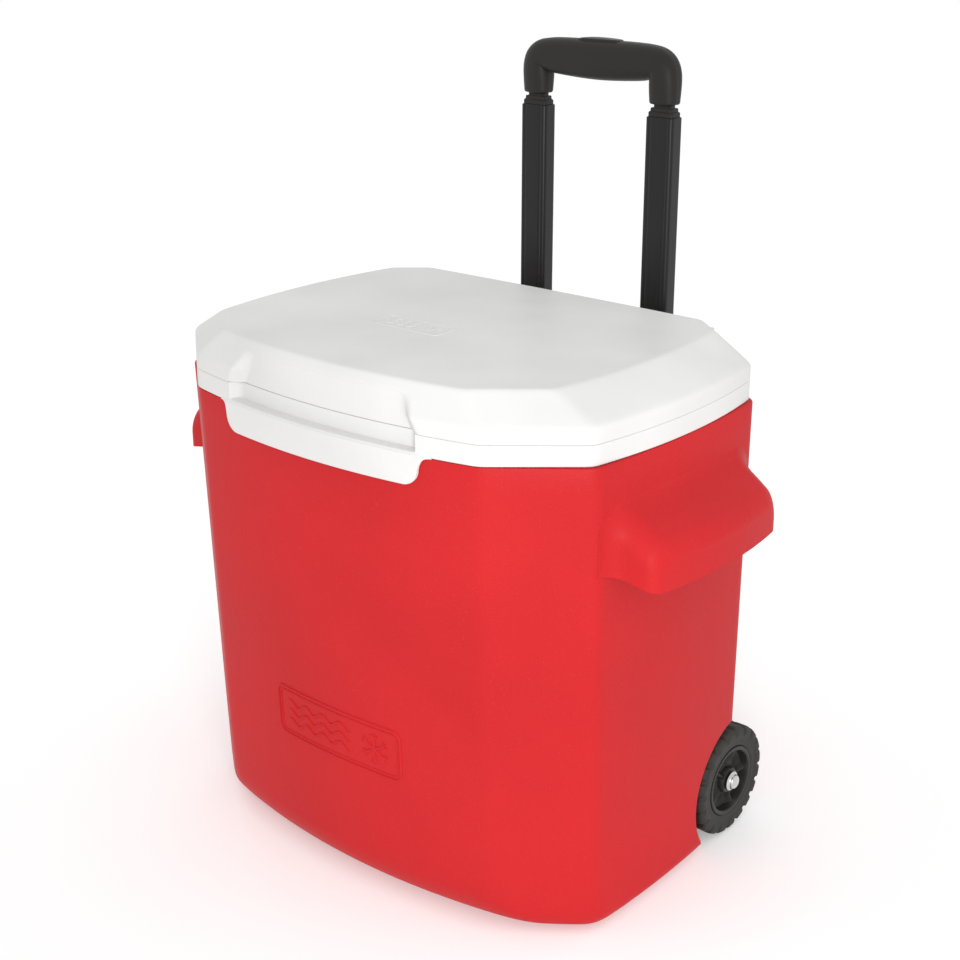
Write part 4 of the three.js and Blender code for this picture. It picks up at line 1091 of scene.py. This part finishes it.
def painted_metal(name, colour, rough):
    """Paint on drawn tube: fine streaks along its length and a little orange peel."""
    f = Finish(name)
    streak = f.noise(120.0, 3.0, 0.6, f.stretched(1.0, 1.0, 0.02))
    peel = f.noise(420.0, 2.0)
    tone = f.mixed(f.between(streak, 0.35, 0.7), shade(colour, 0.85), shade(colour, 1.25))
    f.bump(peel * 0.5 + streak * 0.4, 0.12, 0.0002)
    dull = f.between(streak, 0.3, 0.7, rough - 0.06, rough + 0.08)
    return f.look(Base_Color=tone, Roughness=dull, Specular_IOR_Level=0.3)


def tyre_rubber(name, colour):
    """Hard rubber: a matt skin with mould grain and pale patches of dust and wear, spread by noise."""
    f = Finish(name)
    dust = f.noise(38.0, 5.0, 0.65)
    fine = f.noise(700.0, 3.0)
    tone = f.mixed(f.between(dust, 0.42, 0.75), shade(colour, 0.9), shade(colour, 1.9))
    f.bump(fine * 0.6 + dust * 0.4, 0.25, 0.0004)
    return f.look(Base_Color=tone, Roughness=f.between(dust, 0.3, 0.8, 0.62, 0.85))


def bright_steel(name, colour, rough):
    """Plated steel: turning marks stretched round the axle and faint tarnish."""
    f = Finish(name)
    marks = f.noise(900.0, 3.0, 0.6, f.stretched(1.0, 0.15, 0.15))
    stain = f.noise(60.0, 4.0)
    tone = f.mixed(f.between(stain, 0.5, 0.8), shade(colour, 1.0), shade(colour, 0.72))
    f.bump(marks, 0.08, 0.0001)
    dull = f.between(marks + stain * 0.5, 0.4, 1.0, rough, rough + 0.18)
    return f.look(Base_Color=tone, Metallic=1.0, Roughness=dull)


def cell_foam(name, colour):
    """Expanded foam: packed cells with dark seams and pores."""
    f = Finish(name)
    cell = f.cells(260.0, "F1")
    pore = f.noise(900.0, 3.0)
    seam = f.between(cell, 0.35, 0.7)
    tone = f.mixed(seam, shade(colour, 1.05), shade(colour, 0.72))
    f.bump((1 - cell) * 0.8 + pore * 0.3, 0.5, 0.0008)
    return f.look(Base_Color=tone, Roughness=f.between(pore, 0.3, 0.7, 0.8, 0.95))


def floor_paint(name, colour):
    """Pale studio floor with a hardly visible unevenness."""
    f = Finish(name)
    uneven = f.noise(1.2, 2.0)
    tone = f.mixed(uneven, shade(colour, 0.985), shade(colour, 1.0))
    return f.look(Base_Color=tone, Roughness=0.9, Emission_Color=(1.0, 1.0, 1.0, 1.0),
                  Emission_Strength=0.2)


PAINTS = {}


def paints():
    """All finishes, made once from the colours in the scene's settings."""
    if not PAINTS:
        c = bpy.context.scene.cooler_colours
        PAINTS.update(
            red=pebbled_plastic("red_pebbled_plastic", c.red, 620.0, 0.32, 0.46),
            white=pebbled_plastic("white_pebbled_plastic", c.white, 800.0, 0.14, 0.42),
            liner=smooth_plastic("white_liner_plastic", c.white, 0.35),
            black=smooth_plastic("black_moulded_plastic", c.black, 0.47, 700.0, 0.2),
            hub=smooth_plastic("black_hub_plastic", c.black, 0.36),
            tube=painted_metal("black_tube_paint", c.tube, 0.3),
            rubber=tyre_rubber("black_rubber", c.rubber),
            steel=bright_steel("bright_steel", c.steel, 0.18),
            foam=cell_foam("cream_foam", c.foam),
            floor=floor_paint("pale_floor", c.floor),
        )
    return PAINTS


# ------------------------------------------------------------------ settings
def length_setting(name, description, default, low=0.0, high=0.05):
    """A length in metres."""
    return FloatProperty(name=name, description=description, default=default, min=low, max=high,
                         unit="LENGTH", subtype="DISTANCE")


def colour_setting(name, description, default):
    """A linear colour of three parts."""
    return FloatVectorProperty(name=name, description=description, default=default, min=0.0, max=1.0,
                               size=3, subtype="COLOR")


class TubSettings(bpy.types.PropertyGroup):
    softness: length_setting("Corner rounding", "How softly the tub's upright corners are rounded", 0.0038)
    lip: length_setting("Arch lip", "Radius of the wheel arches' edge", 0.0025)
    emblem: length_setting("Emblem height", "How far the front emblem stands out", 0.0011)


class LidSettings(bpy.types.PropertyGroup):
    softness: length_setting("Corner rounding", "How softly the lid's upright corners are rounded", 0.003)
    crease: length_setting("Crease rounding", "How softly the lid's level creases are rounded", 0.0018)
    emblem: length_setting("Emblem height", "How far the lid emblem stands out", 0.0007)


class WheelSettings(bpy.types.PropertyGroup):
    lugs: IntProperty(name="Lugs", description="Tread blocks round a tyre", default=20, min=6, max=60)
    depth: length_setting("Lug depth", "How deep the tread is cut", 0.0022)


class HandleSettings(bpy.types.PropertyGroup):
    flute: length_setting("Flute depth", "Depth of the flutes in the tubes", 0.0005)
    fullness: FloatProperty(name="Grip fullness", description="Power of the grip's section: 2 is an ellipse",
                            default=2.4, min=1.6, max=5.0)
    button: length_setting("Button crown", "How far the button stands out of the grip", 0.0018)


class ColourSettings(bpy.types.PropertyGroup):
    red: colour_setting("Tub", "Colour of the tub", (0.49, 0.018, 0.021))
    white: colour_setting("Lid", "Colour of the lid and liner", (0.665, 0.663, 0.652))
    black: colour_setting("Plastic", "Colour of the grip, hubs and blocks", (0.016, 0.0145, 0.013))
    tube: colour_setting("Tubes", "Colour of the paint on the tubes", (0.007, 0.006, 0.006))
    rubber: colour_setting("Tyres", "Colour of the tyres", (0.018, 0.016, 0.013))
    steel: colour_setting("Steel", "Colour of the plated parts", (0.66, 0.66, 0.67))
    foam: colour_setting("Foam", "Colour of the insulation", (0.85, 0.74, 0.46))
    floor: colour_setting("Floor", "Colour of the floor", (0.84, 0.84, 0.84))


def millimetres(value):
    """A length setting, which is in metres, in millimetres."""
    return value * 1000.0


# ------------------------------------------------------------------ operators
class COOLER_OT_stage(bpy.types.Operator):
    """Set the camera, the light and the floor"""

    bl_idname = "cooler.stage"
    bl_label = "Stage"

    def execute(self, context):
        scene = context.scene
        camera = bpy.data.cameras.new("camera")
        camera.sensor_width = 36.0
        camera.lens = 59.91
        camera.shift_x = -0.0033
        camera.shift_y = -0.0031
        camera.clip_end = 60.0
        eye = bpy.data.objects.new("camera", camera)
        azimuth, elevation = math.radians(40.10), math.radians(20.27)
        right = (math.cos(azimuth), math.sin(azimuth), 0.0)
        level = math.cos(elevation)
        ahead = (-math.sin(azimuth) * level, math.cos(azimuth) * level, -math.sin(elevation))
        up = np.cross(right, ahead)
        place = (0.78497, (-907.15 + SHIFT_Y) * 0.001, (361.38 + RIM) * 0.001)
        eye.matrix_world = Matrix([[right[i], up[i], -ahead[i], place[i]] for i in range(3)] + [[0, 0, 0, 1]])
        scene.collection.objects.link(eye)
        scene.camera = eye

        steps = np.linspace(-4.0, 4.0, 9)
        x, y = np.meshgrid(steps, steps, indexing="ij")
        points = np.stack([x, y, 0 * x - 0.0004], -1).reshape(-1, 3)
        mesh = bpy.data.meshes.new("floor")
        mesh.from_pydata(points.tolist(), [], grid_faces(9, 9, closed=False).tolist())
        mesh.materials.append(paints()["floor"])
        floor = bpy.data.objects.new("floor", mesh)
        scene.collection.objects.link(floor)

        light = bpy.data.lights.new("key", "SPOT")
        light.energy = 27.0
        light.spot_size = math.radians(58.0)
        light.spot_blend = 1.0
        light.shadow_soft_size = 0.16
        lamp = bpy.data.objects.new("key", light)
        back = np.array([0.68, -0.68, 0.26])
        back /= np.linalg.norm(back)
        side = np.cross([0.0, 0.0, 1.0], back)
        side /= np.linalg.norm(side)
        up = np.cross(back, side)
        place = np.array([0.15, -0.13, 0.27]) + back
        lamp.matrix_world = Matrix([[side[i], up[i], back[i], place[i]] for i in range(3)] + [[0, 0, 0, 1]])
        scene.collection.objects.link(lamp)
        world = bpy.data.worlds.new("studio")
        world.use_nodes = True
        world.node_tree.nodes["Background"].inputs["Color"].default_value = (1.0, 1.0, 1.0, 1.0)
        world.node_tree.nodes["Background"].inputs["Strength"].default_value = 1.0
        scene.world = world
        scene.view_settings.view_transform = "Standard"
        return {"FINISHED"}


class COOLER_OT_tub(bpy.types.Operator):
    """Build the tub with its side handles, and the emblem on its front"""

    bl_idname = "cooler.tub"
    bl_label = "Tub"

    def execute(self, context):
        settings = context.scene.cooler_tub
        tub = make_tub(millimetres(settings.softness), millimetres(settings.lip))
        finish_piece(tub, "cooler_body", paints()["red"], ["outer_shell"], 38.0)
        badge = make_front_badge(millimetres(settings.emblem))
        finish_piece(badge, "cooler_body", paints()["red"], ["front_badge"], 70.0)
        return {"FINISHED"}


class COOLER_OT_lid(bpy.types.Operator):
    """Build the lid's tray with its tab, the lid's top and the emblem on it"""

    bl_idname = "cooler.lid"
    bl_label = "Lid"

    def execute(self, context):
        settings = context.scene.cooler_lid
        softness = millimetres(settings.softness)
        tray = make_lower_shell(softness)
        finish_piece(tray, "lid", paints()["white"], ["lid_lower_shell"], 40.0)
        top = make_upper_shell(softness, millimetres(settings.crease))
        finish_piece(top, "lid", paints()["white"], ["lid_upper_shell"], 45.0)
        emblem = make_lid_emblem(millimetres(settings.emblem))
        finish_piece(emblem, "lid", paints()["white"], [], 70.0)
        return {"FINISHED"}


class COOLER_OT_wheels(bpy.types.Operator):
    """Build the tyres, the hubs and the cap nuts"""

    bl_idname = "cooler.wheels"
    bl_label = "Wheels"

    def execute(self, context):
        settings = context.scene.cooler_wheels
        depth = millimetres(settings.depth)
        for side, name in ((-1, "left"), (1, "right")):
            tyre = raw_object(f"lugged_tyre_{name}", *on_axle(tyre_skin(settings.lugs, depth), side, WHEEL_X))
            finish_piece(tyre, f"wheel_{name}", paints()["rubber"], [f"tyre_{name}"], 50.0)
            hub = raw_object(f"ribbed_hub_{name}", *on_axle(hub_skin(), side, WHEEL_X))
            finish_piece(hub, f"wheel_{name}", paints()["hub"], [f"hub_{name}"], 35.0)
            nut_x = WHEEL_X + WHEEL_WIDTH / 2 - 1.2
            nut = raw_object(f"cap_nut_{name}", *on_axle(push_nut_skin(), side, nut_x))
            finish_piece(nut, "cooler_body", paints()["steel"], [f"push_nut_{name}"], 45.0)
        return {"FINISHED"}


class COOLER_OT_tubes(bpy.types.Operator):
    """Build the three stages of tubes with their caps and collars"""

    bl_idname = "cooler.tubes"
    bl_label = "Tubes"

    def execute(self, context):
        flute = millimetres(context.scene.cooler_handle.flute)
        for side, name in ((-1, "left"), (1, "right")):
            x = side * TUBE_X
            stages = (
                (f"outer_stage_{name}", "cooler_body", "fixed_tube", OUTER_TUBE, flute),
                (f"middle_stage_{name}", "middle_stage", "mid_tube", MIDDLE_TUBE, flute),
                (f"inner_stage_{name}", "grip_stage", "inner_tube", INNER_TUBE, flute * 0.6),
            )
            for piece, body, node, sizes, cut in stages:
                tube = make_tube(piece, x, *sizes, cut)
                finish_piece(tube, body, paints()["tube"], [f"{node}_{name}"], 40.0)
            outer, inner, seat = (37.4, 27.4, 5.6), (26.6, 16.6, 3.4), (33.7, 23.7, 3.8)
            cap = self.ringed(f"tube_mouth_{name}", x, outer, inner, RIM - 7.5, RIM - 2, seat)
            finish_piece(cap, "cooler_body", paints()["black"], [f"fixed_cap_{name}"], 40.0)
            collar = self.collar(f"stepped_collar_{name}", x)
            replaced = [f"mid_collar_{name}"]
            finish_piece(collar, "middle_stage", paints()["black"], replaced, 40.0)
        return {"FINISHED"}

    def ringed(self, name, x, outer, inner, low, high, seat):
        """The cap on a fixed tube: a ring with a skirt, rounded at its top edge."""
        w, d, r = outer
        levels = [(seat, low), (outer, low), (outer, high - 1.2), ((w - 0.7, d - 0.7, r), high - 0.4),
                  ((w - 2.2, d - 2.2, r), high), ((inner[0] + 1.2, inner[1] + 1.2, inner[2]), high),
                  (inner, high - 0.7), (inner, high - 2.7), (seat, high - 2.7)]
        return raw_object(name, *level_rings(x, levels))

    def collar(self, name, x):
        """The plug in a middle tube's top, with a step under the grip."""
        top = MIDDLE_TUBE[-1]
        levels = [((16.6, 10.6, 2.4), top - 14), ((23.0, 13.0, 2.2), top - 14), ((23.0, 13.0, 2.2), top + GAP),
                  ((23.6, 13.6, 2.6), top + GAP), ((23.6, 13.6, 2.6), top + 3.2), ((22.6, 12.6, 2.4), top + 4),
                  ((21.0, 12.0, 2.4), top + 4.2), ((20.6, 11.9, 2.4), top + 6.4), ((19.8, 11.7, 2.4), top + 7),
                  ((16.6, 10.6, 2.4), top + 7)]
        return raw_object(name, *level_rings(x, levels))


def level_rings(x, levels):
    """A closed ring of skin through rounded rectangles (width, depth, radius) at their heights."""
    turn = np.linspace(0, 2 * np.pi, 96, endpoint=False)
    rows = []
    for (width, depth, radius), z in levels:
        cos, sin = np.cos(turn), np.sin(turn)
        reach_x, reach_y = width / 2 - radius, depth / 2 - radius
        corner_x, corner_y = np.sign(np.round(cos, 9)) * reach_x, np.sign(np.round(sin, 9)) * reach_y
        ring = np.column_stack([corner_x + radius * cos, corner_y + radius * sin])
        rows.append(np.column_stack([ring + [x, TUBE_Y], np.full(96, z)]))
    rows = np.array(rows)
    return rows.reshape(-1, 3), grid_faces(len(rows), 96, ring=True)


class COOLER_OT_grip(bpy.types.Operator):
    """Build both halves of the grip and the release button"""

    bl_idname = "cooler.grip"
    bl_label = "Grip"

    def execute(self, context):
        settings = context.scene.cooler_handle
        for side, name in ((-1, "front"), (1, "back")):
            half = make_grip_half(f"grip_shell_{name}", side, settings.fullness)
            finish_piece(half, "grip_stage", paints()["black"], [f"grip_{name}"], 40.0)
        low, high = (-TUBE_X - 5, TUBE_Y - 3, INNER_TOP + 5), (TUBE_X + 5, TUBE_Y + 3, INNER_TOP + 9.9)
        button = raw_object("button_bridge", *block_between(low, high))
        combine(button, [raw_object("cap", *button_skin(millimetres(settings.button)))], "UNION")
        button.name = "crowned_button"
        finish_piece(button, "button", paints()["hub"], ["release_button"], 40.0)
        return {"FINISHED"}


class COOLER_OT_fittings(bpy.types.Operator):
    """Give the frame's own small parts their finishes"""

    bl_idname = "cooler.fittings"
    bl_label = "Fittings"

    def execute(self, context):
        finish_of = {
            "inner_liner": "liner", "insulation_foam": "foam", "lid_foam": "foam", "axle": "steel",
            "handle_guide_block": "black", "handle_foot_block": "black", "hinge_bracket": "black",
            "hinge_pin": "steel", "lid_clevis": "liner", "washer": "steel", "mid_shoe": "hub",
            "inner_shoe": "hub", "release_rod": "steel", "block_screw": "steel", "hinge_screw": "steel",
            "grip_screw": "steel",
        }
        for name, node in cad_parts.items():
            for start, finish in finish_of.items():
                if name.startswith(start):
                    node.data.materials.clear()
                    node.data.materials.append(paints()[finish])
        return {"FINISHED"}


class COOLER_PT_panel(bpy.types.Panel):
    """The cooler's settings and builders"""

    bl_idname = "COOLER_PT_panel"
    bl_label = "Cooler on wheels"
    bl_space_type = "VIEW_3D"
    bl_region_type = "UI"
    bl_category = "Cooler"

    def draw(self, context):
        layout = self.layout
        for key, group in SETTINGS.items():
            box = layout.box()
            box.label(text=key.replace("cooler_", "").capitalize())
            for name in group.__annotations__:
                box.prop(getattr(context.scene, key), name)
        for operator in BUILDERS:
            layout.operator(operator.bl_idname)


SETTINGS = {
    "cooler_tub": TubSettings,
    "cooler_lid": LidSettings,
    "cooler_wheels": WheelSettings,
    "cooler_handle": HandleSettings,
    "cooler_colours": ColourSettings,
}
BUILDERS = (
    COOLER_OT_stage,
    COOLER_OT_tub,
    COOLER_OT_lid,
    COOLER_OT_wheels,
    COOLER_OT_tubes,
    COOLER_OT_grip,
    COOLER_OT_fittings,
)


def register():
    for group in (*SETTINGS.values(), *BUILDERS, COOLER_PT_panel):
        bpy.utils.register_class(group)
    for key, group in SETTINGS.items():
        setattr(bpy.types.Scene, key, PointerProperty(type=group))


def unregister():
    for key in SETTINGS:
        delattr(bpy.types.Scene, key)
    for group in (COOLER_PT_panel, *reversed(BUILDERS), *reversed(SETTINGS.values())):
        bpy.utils.unregister_class(group)


def main():
    register()
    for operator in BUILDERS:
        space, name = operator.bl_idname.split(".")
        getattr(getattr(bpy.ops, space), name)()


if __name__ == "__main__":
    main()
